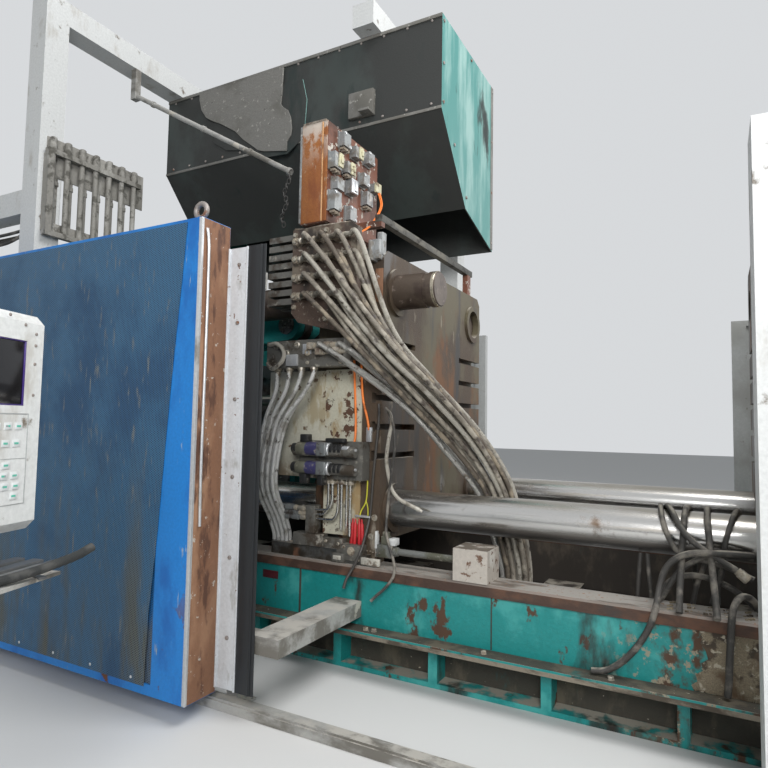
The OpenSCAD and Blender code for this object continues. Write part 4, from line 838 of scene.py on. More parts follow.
orange = cable_finish("orange_sheath", (0.8, 0.2, 0.03))
yellow = cable_finish("earth_wire", (0.55, 0.52, 0.04))
red = cable_finish("red_cable_end", (0.5, 0.02, 0.025))
dark_cable = cable_finish("dark_cable", (0.05, 0.045, 0.04))
runs = [
    ("orange_line_a", orange, 0.017, [(-2.46, -1.002, 2.14), (-2.455, -1.002, 2.0),
        (-2.445, -1.0, 1.8), (-2.435, -1.002, 1.62), (-2.425, -1.03, 1.5),
        (-2.43, -1.075, 1.47)]),
    ("orange_line_b", orange, 0.017, [(-2.405, -1.0, 2.1), (-2.4, -0.992, 1.92),
        (-2.385, -0.99, 1.78), (-2.35, -0.99, 1.66), (-2.335, -0.99, 1.58)]),
    ("earth_line", yellow, 0.01, [(-2.42, -1.075, 1.46), (-2.375, -1.01, 1.44),
        (-2.345, -0.988, 1.36), (-2.342, -0.985, 1.22), (-2.35, -0.985, 1.1),
        (-2.385, -0.988, 1.03), (-2.395, -0.995, 0.985)]),
    ("earth_line_b", yellow, 0.008, [(-2.351, -0.985, 1.1), (-2.335, -0.986, 1.05),
        (-2.33, -0.992, 0.985)]),
]
for name, material, thick, points in runs:
    laid_hose(name, points, thick, material, "moving_platen", "hose_fitting", 5, 3)
ends = []
for i, x in enumerate((-2.455, -2.425, -2.39, -2.36)):
    ends.append(placed(turned([(0, 0), (0.01, 0.004), (0.013, 0.02), (0.013, 0.15),
        (0.007, 0.165), (0.005, 0.19), (0, 0.19)], 12), [(x, -0.997 - 0.006 * (i % 2), 0.785)],
        (0.06 - 0.04 * i, 0.0, 1)))
fitted(joined(ends), "red_cable_ends", red)
clip = blocks(((-2.355, -0.996, 1.5), (-2.315, -0.974, 1.6), 0.004),
    ((-2.43, -1.0, 0.985), (-2.31, -0.974, 1.0), 0.003))
fitted(clip, "cable_clips", alloy)

# Junction box: folded cover with a bead on the operator side, caked with pale dust at the top,
# galvanised hoods with cream lever plates, and the orange double line of the last plug.
box_cover_paint = worn("orange_brown_cover", (0.3, 0.105, 0.022), 0.35, 0.0, (
    ((0.17, 0.045, 0.015), 3.5, 0.44, 0.66, 0.7, 0.0, (1, 1, 0.35)),
    ((0.52, 0.46, 0.4), 16, 0.42, 0.54, 0.95, 0.0, (1, 1, 0.6), (3.36, 3.8)),
    ((0.4, 0.3, 0.2), 26, 0.6, 0.68, 0.8, 0.0, (1, 1, 0.3), (3.02, 3.45))), bump=0.5)
cover = blocks(
    ((-2.804, -1.2055, 3.024), (-2.634, -1.1995, 3.731), 0.003),
    ((-2.622, -1.2045, 3.024), (-2.588, -1.1995, 3.731), 0.003),
    ((-2.804, -1.205, 3.731), (-2.588, -0.52, 3.738), 0.002))
fitted(cover, "junction_box_cover", box_cover_paint)
bead_paint = worn("worn_fold_bead", (0.5, 0.27, 0.12), 0.4, 0.0, (
    ((0.22, 0.09, 0.03), 8, 0.48, 0.6, 0.8, 0.0, (1, 1, 0.4)),), bump=0.2)
fitted(block((-2.634, -1.212, 3.022), (-2.622, -1.1995, 3.733), 0.005, 3),
    "junction_box_bead", bead_paint)
galvanised = worn("dull_galvanised_sheet", (0.3, 0.31, 0.31), 0.5, 0.55, (
    ((0.17, 0.155, 0.135), 9, 0.5, 0.62, 0.8),
    ((0.47, 0.46, 0.43), 15, 0.58, 0.66, 0.7, 0.1)), bump=0.3)
lips = blocks(((-2.824, -1.203, 3.03), (-2.805, -1.16, 3.735), 0.003),
    ((-2.7, -1.02, 3.735), (-2.66, -0.96, 3.76), 0.004))
fitted(lips, "junction_box_edges", galvanised)
crust = block((-2.8, -1.2085, 3.735), (-2.6, -1.12, 3.752), 0.005, 1)
fitted(roughened(crust, 0.25, 7), "junction_box_crust", caked)
dressed(galvanised, "box_connectors")
cream_plug = worn("cream_lever_plate", (0.56, 0.53, 0.36), 0.45, 0.0, (
    ((0.2, 0.16, 0.11), 17, 0.5, 0.62, 0.8),), bump=0.3)
levers = []
for y, z, high in ((-1.125, 3.465, 0.1), (-0.85, 3.625, 0.09), (-0.962, 3.462, 0.09)):
    levers.append(block((-2.53, y - 0.028, z - high / 2), (-2.517, y + 0.026,
        z + high / 2), 0.003))
    levers.append(block((-2.518, y - 0.012, z - 0.022), (-2.506, y + 0.014, z + 0.024),
        0.004))
levers.append(block((-2.53, -0.64, 3.408), (-2.508, -0.56, 3.486), 0.005))
fitted(joined(levers), "box_lever_plates", cream_plug)
bright = joined([block((-2.53, -0.985, 3.286), (-2.512, -0.9, 3.392), 0.006, 3),
    block((-2.515, -0.955, 3.3), (-2.5, -0.925, 3.38), 0.004),
    bolt_heads(0.02, 0.008, [(-2.529, y, z) for y, z in ((-1.065, 3.69),
    (-1.0, 3.61), (-0.715, 3.685), (-0.655, 3.62), (-1.175, 3.225), (-1.115, 3.12),
    (-0.965, 3.18), (-0.905, 3.1), (-0.785, 3.49), (-0.725, 3.43))], forward)])
fitted(bright, "box_bright_hood", alloy)
crumbs = []
for y, z in ((-1.145, 3.088), (-0.935, 3.074), (-0.7, 3.262), (-1.035, 3.583),
        (-1.15, 3.382), (-0.985, 3.404)):
    for i in range(4):
        crumbs.append(block((-2.575, y - 0.04 + 0.021 * i, z - 0.008 - 0.006 * (i % 2)),
            (-2.535, y - 0.024 + 0.021 * i, z + 0.01), 0.004))
fitted(joined(crumbs), "box_contact_crumbs", caked)
for i in range(2):
    points = [(-2.519 + 0.011 * i, -0.6 + 0.005 * i, 3.412), (-2.506 + 0.011 * i, -0.6, 3.38),
        (-2.47 + 0.011 * i, -0.64, 3.29), (-2.432 + 0.01 * i, -0.77, 3.16),
        (-2.405 + 0.01 * i, -0.93, 3.03), (-2.395 + 0.01 * i, -1.05, 2.96),
        (-2.402 + 0.01 * i, -1.118, 2.915)]
    laid_hose(f"orange_double_line_{i}", points, 0.012, orange, "moving_platen",
        "hose_fitting", 6, 3)
stand = blocks(((-2.335, -1.02, 2.765), (-2.262, -0.955, 2.905), 0.006),
    ((-2.3, -0.99, 2.8), (-2.256, -0.93, 2.96), 0.005),
    ((-2.32, -1.075, 2.75), (-2.3, -0.955, 2.885), 0.004))
fitted(stand, "corner_bracket", galvanised)

# Foot corner of the moving platen: stop plates bolted beside the rail, their slots and screws,
# crumbs of casting dust, and three worn lines that hang off the hose bundle.
foot_plates = blocks(
    ((-2.665, -1.045, 0.735), (-2.5, -0.976, 0.83), 0.006),
    ((-2.5, -1.06, 0.7), (-2.338, -0.976, 0.805), 0.005),
    ((-2.565, -1.072, 0.685), (-2.47, -1.045, 0.742), 0.003))
fitted(foot_plates, "foot_stop_plates", valve_grey)
pale_plate = worn("pale_scale_plate", (0.5, 0.48, 0.42), 0.5, 0.2, (
    ((0.16, 0.12, 0.09), 16, 0.48, 0.6, 0.8),), bump=0.3)
fitted(blocks(((-2.335, -1.068, 0.69), (-2.195, -1.05, 0.735), 0.003),
    ((-2.55, -1.078, 0.7), (-2.49, -1.07, 0.728), 0.003)),
    "foot_scale_plates", pale_plate)
foot_screws = joined([bolt_heads(0.036, 0.022, [(-2.418, -1.06, 0.765)], near),
    placed(turned([(0, 0), (0.03, 0), (0.03, 0.004), (0.02, 0.006), (0, 0.006)], 16),
    [(-2.418, -1.06, 0.765)], near),
    bolt_heads(0.018, 0.01, [(-2.475, -1.06, 0.79), (-2.36, -1.06, 0.715),
    (-2.225, -1.068, 0.712), (-2.63, -1.045, 0.81), (-2.53, -1.045, 0.8)], near),
    placed(turned([(0, 0), (0.022, 0), (0.022, 0.008), (0.012, 0.01), (0.012, 0.002),
    (0, 0.002)], 14), [(-2.31, -0.9765, 0.86), (-2.285, -0.9765, 0.99)], near)])
fitted(foot_screws, "foot_screws", zinc)
rod_sleeve = joined([placed(turned([(0.0202, 0), (0.0222, 0.002), (0.0222, 0.474),
    (0.0202, 0.476)], 20), [(-2.147, -0.95, 0.775)], forward),
    block((-2.2685, -0.9915, 0.7345), (-2.1485, -0.9085, 0.816), 0.004),
    placed(turned([(0, 0), (0.03, 0), (0.03, 0.03), (0.026, 0.034), (0, 0.034)], 16),
    [(-2.146, -0.95, 0.775)], forward)])
rod_grey = worn("sensor_rod_grey", (0.17, 0.175, 0.165), 0.45, 0.3, (
    ((0.085, 0.085, 0.06), 7, 0.46, 0.6, 0.6, 0.1),
    ((0.33, 0.31, 0.27), 15, 0.58, 0.68, 0.8)), bump=0.2)
fitted(rod_sleeve, "sensor_rod_sleeve", rod_grey)
holder = blocks(((-2.2695, -1.0, 0.79), (-2.255, -0.96, 0.905), 0.003),
    ((-2.175, -0.985, 0.816), (-2.125, -0.915, 0.862), 0.004))
fitted(holder, "sensor_holder", white_coat)
olive_valve = joined([block((-2.235, -0.975, 0.816), (-2.18, -0.925, 0.872), 0.004),
    placed(turned([(0, 0), (0.012, 0), (0.014, 0.006), (0.014, 0.022), (0.008, 0.028),
    (0, 0.028)], 12), [(-2.222, -0.95, 0.872), (-2.195, -0.95, 0.872)])])
fitted(olive_valve, "sensor_olive_valve", coil_olive)
crumbs = []
for i in range(34):
    x = -3.05 + 0.83 * ((i * 37) % 101) / 101
    y = -1.04 + 0.055 * ((i * 53) % 97) / 97
    size = 0.006 + 0.009 * ((i * 29) % 11) / 11
    crumbs.append(block((x, y, 0.764), (x + size * 1.4, y + size, 0.765 + size * 0.7),
        0.0015, 1))
fitted(joined(crumbs), "shoe_dust_crumbs", caked)
silver_end = placed(turned([(0, 0), (0.011, 0), (0.014, 0.006), (0.014, 0.03),
    (0.009, 0.034), (0.009, 0.052), (0, 0.052)], 12), [(-1.99, -0.961, 1.077)],
    (0.75, 0.12, -0.35))
fitted(silver_end, "silver_line_end", pale_plate)
trailing = [
    ("dark_line", dark_cable, 0.02, "bare", [(-2.262, -0.99, 1.76), (-2.256, -0.995, 1.685),
        (-2.268, -0.988, 1.56), (-2.28, -0.987, 1.44), (-2.296, -0.987, 1.28),
        (-2.305, -0.987, 1.143), (-2.318, -0.99, 0.99), (-2.322, -1.04, 0.87),
        (-2.318, -1.095, 0.79), (-2.345, -1.118, 0.71), (-2.372, -1.128, 0.655),
        (-2.395, -1.15, 0.6), (-2.405, -1.165, 0.545)]),
    ("grey_line", hose_black, 0.019, "bare", [(-2.232, -0.945, 1.735), (-2.195, -0.965, 1.7),
        (-2.13, -1.03, 1.63), (-2.1, -1.065, 1.56),
        (-2.1, -1.06, 1.46), (-2.128, -1.03, 1.33), (-2.16, -1.01, 1.18),
        (-2.172, -1.01, 1.04), (-2.17, -1.025, 0.92), (-2.13, -1.045, 0.81),
        (-2.085, -1.075, 0.74), (-2.062, -1.105, 0.692), (-2.07, -1.122, 0.64),
        (-2.12, -1.13, 0.575), (-2.165, -1.15, 0.53), (-2.195, -1.175, 0.495)]),
    ("silver_line", hose_pale, 0.026, "fitting", [(-2.228, -0.92, 1.715), (-2.19, -0.955, 1.69),
        (-2.15, -1.01, 1.625), (-2.156, -1.035, 1.53), (-2.174, -1.03, 1.39),
        (-2.165, -1.01, 1.27), (-2.142, -1.0, 1.185), (-2.1, -0.985, 1.13),
        (-2.04, -0.975, 1.1), (-1.985, -0.96, 1.075)])]
for name, material, thick, end, points in trailing:
    laid_hose(name, points, thick, material, "moving_platen", "hose_dark", 6, 3, far_end=end,
        stiffness="limp", with_pieces=[silver_end] if end == "fitting" else ())

# Cream cover sheet beside the toggle, behind the return hoses: folded sheet on two flat bars
# from the back of the platen, stained and flaking along its lower edge.
cream_cover = worn("cream_cover_sheet", (0.5, 0.485, 0.4), 0.5, 0.0, (
    ((0.34, 0.29, 0.19), 5, 0.52, 0.64, 0.6, 0.0, (1, 1, 0.4)),
    ((0.13, 0.085, 0.05), 12, 0.6, 0.66, 0.8),
    ((0.2, 0.16, 0.11), 6, 0.4, 0.56, 0.8, 0.0, even, (1.42, 1.24))), bump=0.2)
cover_sheet = blocks(((-3.205, -0.984, 1.238), (-2.701, -0.978, 2.0), 0.002),
    ((-3.208, -0.984, 1.238), (-3.202, -0.95, 2.0), 0.002),
    ((-3.205, -0.984, 1.235), (-2.79, -0.95, 1.241), 0.002),
    ((-3.15, -0.979, 1.4), (-2.78, -0.96, 1.44), 0.003),
    ((-3.15, -0.979, 1.88), (-2.78, -0.96, 1.92), 0.003))
fitted(cover_sheet, "cream_cover_sheet", cream_cover)
cover_screws = bolt_heads(0.018, 0.01, [(x, -0.984, z) for x in (-3.12, -2.83)
    for z in (1.42, 1.9)], near)
fitted(cover_screws, "cream_cover_screws", zinc)

# Steel angle over the connector box's support bar, and the red-brown strip on the platen's
# side below it.
bar_grey = worn("support_bar_grime", (0.075, 0.073, 0.063), 0.6, 0.1, (
    ((0.16, 0.15, 0.125), 5, 0.48, 0.62, 0.8, 0.0, (1, 0.4, 1)),
    ((0.03, 0.026, 0.02), 9, 0.54, 0.64, 0.7)), bump=0.3)
fitted(block((-2.3525, -0.9325, 3.0575), (-2.2975, 0.9025, 3.1125), 0.004),
    "support_bar_cover", bar_grey)
fitted(block((-2.312, -0.9805, 2.47), (-2.2525, -0.9745, 2.705), 0.0015),
    "platen_side_strip", post_rust)

# Fume hood: grey repair plate with torn edges over the folded sheet, folded brackets at its
# foot, rivets along the corners, and the spray arm with the dark chain on its lower end.
patch_grey = worn("grey_repair_plate", (0.185, 0.18, 0.165), 0.6, 0.1, (
    ((0.12, 0.115, 0.1), 2.2, 0.46, 0.64, 0.7),
    ((0.34, 0.33, 0.3), 22, 0.6, 0.68, 0.8),
    ((0.05, 0.045, 0.04), 13, 0.64, 0.72, 0.8)), bump=0.4)
patch = cut_plate([(-4.7, 4.86), (-4.698, 4.8), (-4.665, 4.69), (-4.6, 4.6), (-4.53, 4.555),
    (-4.4, 4.49), (-4.22, 4.38), (-4.12, 4.28), (-4.02, 4.205), (-3.93, 4.135), (-3.86, 4.11),
    (-3.72, 4.085), (-3.6, 4.062), (-3.598, 4.15), (-3.555, 4.2), (-3.548, 4.26),
    (-3.563, 4.37), (-3.6, 4.445), (-3.66, 4.49), (-3.68, 4.52), (-3.67, 4.6),
    (-3.66, 4.86)], -0.378, -0.3625)
fitted(patch, "hood_repair_plate", patch_grey, "root")
rivets = []
for i in range(14):
    rivets.append((-5.05 + 0.22 * i, -0.3505, 4.86))
    rivets.append((-5.05 + 0.22 * i, -0.3505, 4.17))
bolts = placed(turned([(0, 0), (0.012, 0), (0.01, 0.005), (0.004, 0.008), (0, 0.008)], 10),
    rivets, near)
corner_bolts = bolt_heads(0.022, 0.01, [(-2.0995, y, z) for y, z in ((-0.32, 4.85),
    (-0.32, 4.5), (-0.32, 4.18), (-0.08, 3.93), (0.2, 3.58), (0.86, 3.36), (0.86, 3.85),
    (0.86, 4.35), (0.86, 4.85), (0.3, 4.86))], forward)
fitted(joined([bolts, corner_bolts]), "hood_rivets", eye_steel, "root")
edge_angle = blocks(
    ((-2.94, -0.395, 4.195), (-2.7, -0.3505, 4.415), 0.004),
    ((-2.8, -0.47, 4.195), (-2.7, -0.39, 4.215), 0.003),
    ((-2.112, 0.84, 3.3), (-2.094, 0.896, 4.895), 0.003),
    ((-5.15, -0.3565, 4.115), (-2.1, -0.3495, 4.14), 0.002),
    ((-5.15, -0.36, 4.87), (-2.1, -0.3495, 4.899), 0.002))
fitted(edge_angle, "hood_edge_angles", patch_grey, "root")

# Slanting arm: worn collars and the chain.
chain = []
for i in range(13):
    z = 3.575 - 0.034 * i
    x = -3.16 + 0.02 * math.sin(1.1 * i) - 0.0035 * i
    bpy.ops.mesh.primitive_torus_add(major_radius=0.017, minor_radius=0.0048, major_segments=14,
        minor_segments=6, location=(x, -0.9 + 0.004 * math.sin(2.1 * i), z),
        rotation=(math.pi / 2, 0, 0.3 + (i % 2) * math.pi / 2))
    link = bpy.context.object
    link.scale = (0.8, 1.35, 1)
    chain.append(link)
fitted(joined(chain), "arm_chain", cable_finish("sooty_chain", (0.035, 0.033, 0.03)),
    "root")
direction = (-1.838, 0, 1.074)
collars = placed(turned([(0.0, 0.0), (0.026, 0.0), (0.028, 0.003), (0.028, 0.03),
    (0.026, 0.033), (0.0, 0.033)], 18), [(-3.135 + direction[0] * t, -0.9,
    3.58 + direction[2] * t) for t in (0.0, 0.22, 0.51, 0.86)], direction)
fitted(collars, "arm_collars", grey_beam, "root")

# Pipe rack beside the column: dusty header plate, ferrules on the pipes, a second row of
# pipes behind the first, and the slack lines that hang under the beam towards it.
dusty_pipe = worn("dusty_spray_pipe", (0.25, 0.24, 0.215), 0.7, 0.1, (
    ((0.36, 0.35, 0.32), 5, 0.46, 0.62, 0.7, 0.0, (1, 1, 0.4)),
    ((0.1, 0.095, 0.08), 11, 0.52, 0.64, 0.8)), bump=0.4)
dressed(dusty_pipe, "pipe_rack")
header = blocks(((-4.955, -1.74, 3.58), (-4.942, -0.8, 3.9), 0.004),
    ((-4.945, -1.74, 3.12), (-4.93, -0.88, 3.2), 0.004))
fitted(header, "rack_header_plate", dusty_pipe, "root")
front_row = [(-4.91, -1.71 + 0.13 * i, 3.785) for i in range(7)]
ferrules = placed(turned([(0, 0), (0.029, 0), (0.031, 0.006), (0.031, 0.045), (0.025, 0.052),
    (0.025, 0.075), (0.028, 0.08), (0.028, 0.1), (0.018, 0.108), (0, 0.108)], 14), front_row)
back_row = [(-4.965, -1.645 + 0.13 * i, 3.15) for i in range(6)]
pipes = placed(turned([(0, 0), (0.02, 0), (0.02, 0.36), (0.026, 0.365), (0.026, 0.4),
    (0.021, 0.405), (0.021, 0.44), (0.012, 0.45), (0, 0.45)], 14), back_row)
fitted(joined([ferrules, pipes]), "rack_ferrules", dusty_pipe, "root")
for i in range(4):
    y = -1.665 - 0.028 * i
    drop = 0.03 * (i % 3)
    points = [(-6.36, y, 3.268), (-6.3, y, 3.235), (-6.15, y, 3.205 - drop),
        (-5.8, y - 0.01, 3.15 - drop), (-5.45, y, 3.145 - drop), (-5.17, y + 0.01, 3.16),
        (-5.02, y + 0.03, 3.2), (-4.965, y + 0.04, 3.22)]
    laid_hose(f"slack_line_{i}", points, 0.026, hose_black, "root", "hose_dark", 5, 3,
        **connected)

# Girder: dark red cover plate, vertical weld, heads on the lower flange, crusted dirt on the
# skirt between the posts and the pale scraped edge of the flange.
cover_red = worn("dark_red_cover", (0.085, 0.01, 0.016), 0.5, 0.0, (
    ((0.03, 0.012, 0.012), 9, 0.5, 0.62, 0.8),), bump=0.2)
fitted(block((-3.149, -1.0795, 0.505), (-3.012, -1.0745, 0.56), 0.002),
    "girder_cover", cover_red, "root")
dirt = worn("oily_floor_dirt", (0.045, 0.04, 0.03), 0.75, 0.0, (
    ((0.1, 0.085, 0.06), 5, 0.48, 0.62, 0.8, 0.0, (1, 1, 0.5)),
    ((0.015, 0.1, 0.09), 3, 0.6, 0.68, 0.7, 0.0, (1, 1, 0.4)),
    ((0.4, 0.36, 0.28), 30, 0.66, 0.7, 0.8)), bump=0.5)
weld = joined([block((-2.823, -1.0805, 0.305), (-2.808, -1.0745, 0.608), 0.002)]
    + [block((x - 0.012, -1.079, 0.305), (x - 0.004, -1.0745, 0.608), 0.002)
    for x in (-4.2, -1.42, -0.02)])
fitted(weld, "girder_welds", dirt, "root")
boards = []
for i in range(8):
    x = -4.64 + 0.7 * i
    boards.append(block((x + 0.062, -0.9345, 0.032), (min(x + 0.698, 0.698), -0.9302,
        0.263), 0.001, 1))
boards.append(block((-4.895, -0.9345, 0.032), (-4.642, -0.9302, 0.263), 0.001, 1))
boards.append(block((-4.898, -1.192, 0.2995), (0.698, -1.077, 0.303), 0.001, 1))
fitted(joined(boards), "girder_dirt_crust", dirt, "root")
scraped = worn("scraped_flange_edge", (0.22, 0.19, 0.145), 0.6, 0.1, (
    ((0.07, 0.055, 0.04), 7, 0.46, 0.6, 0.8, 0.0, (0.4, 1, 1)),
    ((0.02, 0.16, 0.15), 5, 0.62, 0.68, 0.7, 0.0, (0.4, 1, 1))), bump=0.4)
fitted(block((-4.899, -1.1975, 0.263), (0.699, -1.1945, 0.288), 0.001, 1),
    "flange_scraped_edge", scraped, "root")
flange_heads = bolt_heads(0.03, 0.018, [(x, -1.15, 0.302) for x in (-4.3, -3.55,
    -2.24, -2.18, -1.45, -0.75, -0.05)], (0, 0, 1))
fitted(flange_heads, "flange_heads", zinc, "root")
beam_ends = joined([block((x - 0.11, -1.081, 0.335), (x + 0.11, -1.0745, 0.475), 0.003)
    for x in (-3.7, 0.2)])
fitted(beam_ends, "beam_end_plates", grey_beam, "root")

# Crusted end of the girder's web beside the fixed platen, where the paint has come off under
# baked spray and rust, with grit heaped on the rail above it, past the sensor box's reach.
crust = worn("tan_spray_crust", (0.27, 0.225, 0.155), 0.9, 0.0, (
    ((0.06, 0.045, 0.032), 9, 0.48, 0.58, 0.8),
    ((0.5, 0.45, 0.35), 26, 0.56, 0.62, 0.9),
    ((0.13, 0.085, 0.05), 4, 0.54, 0.66, 0.8)), grain=(140, 0.4), bump=0.8)
edge = [(-0.33, 0.545), (-0.318, 0.575), (-0.335, 0.602), (-0.3, 0.6085), (0.695, 0.6085),
    (0.695, 0.3035), (-0.36, 0.3035), (-0.372, 0.33), (-0.345, 0.352), (-0.352, 0.385),
    (-0.318, 0.41), (-0.325, 0.445), (-0.295, 0.47), (-0.305, 0.51)]
fitted(cut_plate(edge, -1.0785, -1.0748, 0.001), "girder_crust", crust, "root")
grit = []
for i in range(45):
    x = -0.54 + 0.44 * ((i * 41) % 103) / 103
    y = -1.085 + 0.2 * ((i * 59) % 89) / 89
    size = 0.005 + 0.009 * ((i * 31) % 13) / 13
    grit.append(block((x, y, 0.6795), (x + size * 1.5, y + size, 0.68 + size * 0.7),
        0.0012, 1))
fitted(joined(grit), "rail_grit", crust, "root")

# Operator's panel, modelled upright at its own corner and then turned with it: dark screen in
# a violet-edged frame, keypad field with printed keys, lamps, the slatted shelf below it and
# the foam-wrapped handrail.
at_panel = Matrix.Translation((-2.215, -3.4, 1.26)) @ Matrix.Rotation(math.radians(17), 4, "Z")

def at_the_panel(part, name, material):
    part.matrix_world = at_panel @ part.matrix_world
    return fitted(part, name, material, "root")

screen_glass = worn("screen_glass", (0.006, 0.006, 0.008), 0.12, 0.0,
    grain=(60, 0.02), bump=0.0)
at_the_panel(block((-0.0075, -0.444, 0.404), (-0.004, -0.076, 0.606), 0.001),
    "panel_screen", screen_glass)
violet_edge = worn("violet_screen_edge", (0.045, 0.022, 0.16), 0.35, 0.0, bump=0.0)
edges = blocks(((-0.0078, -0.0765, 0.401), (-0.0015, -0.0705, 0.609), 0.001),
    ((-0.0078, -0.4495, 0.401), (-0.0015, -0.4435, 0.609), 0.001),
    ((-0.0078, -0.4495, 0.4005), (-0.0015, -0.0705, 0.4045), 0.001),
    ((-0.0078, -0.4495, 0.6055), (-0.0015, -0.0705, 0.6095), 0.001))
at_the_panel(edges, "panel_screen_edge", violet_edge)
field_line = worn("keypad_outline", (0.36, 0.37, 0.37), 0.5, 0.0, bump=0.0)
outline = blocks(((0.0, -0.052, 0.088), (0.0012, -0.049, 0.376), 0.0004),
    ((0.0, -0.505, 0.088), (0.0012, -0.502, 0.376), 0.0004),
    ((0.0, -0.505, 0.373), (0.0012, -0.049, 0.376), 0.0004),
    ((0.0, -0.505, 0.088), (0.0012, -0.049, 0.091), 0.0004),
    ((0.0, -0.505, 0.232), (0.001, -0.049, 0.2335), 0.0003))
at_the_panel(outline, "panel_keypad_outline", field_line)
keys, marks = [], []
for row, z in enumerate((0.335, 0.281, 0.213, 0.18, 0.147, 0.116)):
    for column in range(10):
        if (row * 3 + column * 5) % 7 == 6:
            continue
        y = -0.088 - 0.0425 * column - (0.006 if row % 2 else 0)
        keys.append(block((0.0, y - 0.015, z - 0.011), (0.0022, y + 0.015, z + 0.011),
            0.0008))
        marks.append(block((0.0021, y - 0.009, z - 0.003), (0.0028, y + 0.008,
            z + 0.0035), 0.0003, 1))
key_white = worn("keypad_key", (0.6, 0.62, 0.62), 0.45, 0.0, bump=0.02)
at_the_panel(joined(keys), "panel_keys", key_white)
key_green = worn("key_print_green", (0.1, 0.42, 0.32), 0.5, 0.0, (
    ((0.3, 0.32, 0.33), 14, 0.5, 0.56, 0.9),), bump=0.0)
at_the_panel(joined(marks), "panel_key_prints", key_green)
lamp_amber = worn("panel_lamps", (0.22, 0.19, 0.17), 0.3, 0.0, bump=0.0)
lamps = placed(turned([(0, 0), (0.0055, 0), (0.005, 0.002), (0.002, 0.003), (0, 0.003)], 12),
    [(0.0, -0.034, z) for z in (0.637, 0.599, 0.538, 0.436)] + [(0.0, -0.081, 0.661),
    (0.0, -0.145, 0.683), (0.0, -0.3, 0.672)], forward)
at_the_panel(lamps, "panel_lamps", lamp_amber)
# Grey plates on the panel's side and back: the one on the side is painted shade, the white coat's
# side seen in shade.
grey_and_shaded_side = worn("panel_side_grey_and_painted_shade", (0.33, 0.35, 0.36), 0.5, 0.0, (
    ((0.24, 0.25, 0.25), 7, 0.5, 0.64, 0.6),), bump=0.1)
sides = blocks(((-0.198, 0.0, 0.028), (-0.032, 0.0016, 0.672), 0.0008),
    ((-0.2325, -0.53, 0.06), (-0.2298, -0.03, 0.64), 0.001))
at_the_panel(sides, "panel_side_plate_painted_shade", grey_and_shaded_side)
vents = [block((-0.2345, -0.4, 0.46 + 0.022 * i), (-0.232, -0.16, 0.47 + 0.022 * i),
    0.001, 1) for i in range(6)]
vents += [block((-0.16, 0.0012, 0.3 + 0.35 * i), (-0.13, 0.004, 0.33 + 0.35 * i),
    0.001) for i in range(2)]
at_the_panel(joined(vents), "panel_vents_and_latches", plug_black)
slats = joined([block((-0.02 - 0.075 * i, -0.56 + 0.03 * i, -0.137),
    (-0.02 - 0.075 * i + 0.045, 0.115, -0.125), 0.003) for i in range(3)])
shelf_grey = worn("shelf_slat_grey", (0.115, 0.12, 0.125), 0.45, 0.3, (
    ((0.22, 0.215, 0.2), 8, 0.52, 0.66, 0.6, 0.1, (1, 0.4, 1)),), bump=0.1)
at_the_panel(slats, "panel_shelf_slats", shelf_grey)
foam = worn("foam_handrail", (0.022, 0.024, 0.024), 0.85, 0.0, (
    ((0.045, 0.045, 0.042), 9, 0.5, 0.64, 0.7),), grain=(300, 0.4), bump=0.5)
laid_hose("panel_handrail", [(-2.165, -3.95, 1.118), (-2.115, -3.75, 1.128),
    (-2.1, -3.566, 1.14), (-2.1, -3.45, 1.15), (-2.1, -3.387, 1.16),
    (-2.1, -3.321, 1.172), (-2.104, -3.262, 1.19)], 0.03, foam,
    "root", "grey_beam", 6, 4)
brackets = blocks(((-2.21, -3.735, 1.114), (-2.105, -3.705, 1.122), 0.002),
    ((-2.2, -3.445, 1.118), (-2.1, -3.42, 1.126), 0.002))
fitted(brackets, "handrail_brackets", shelf_grey, "root")
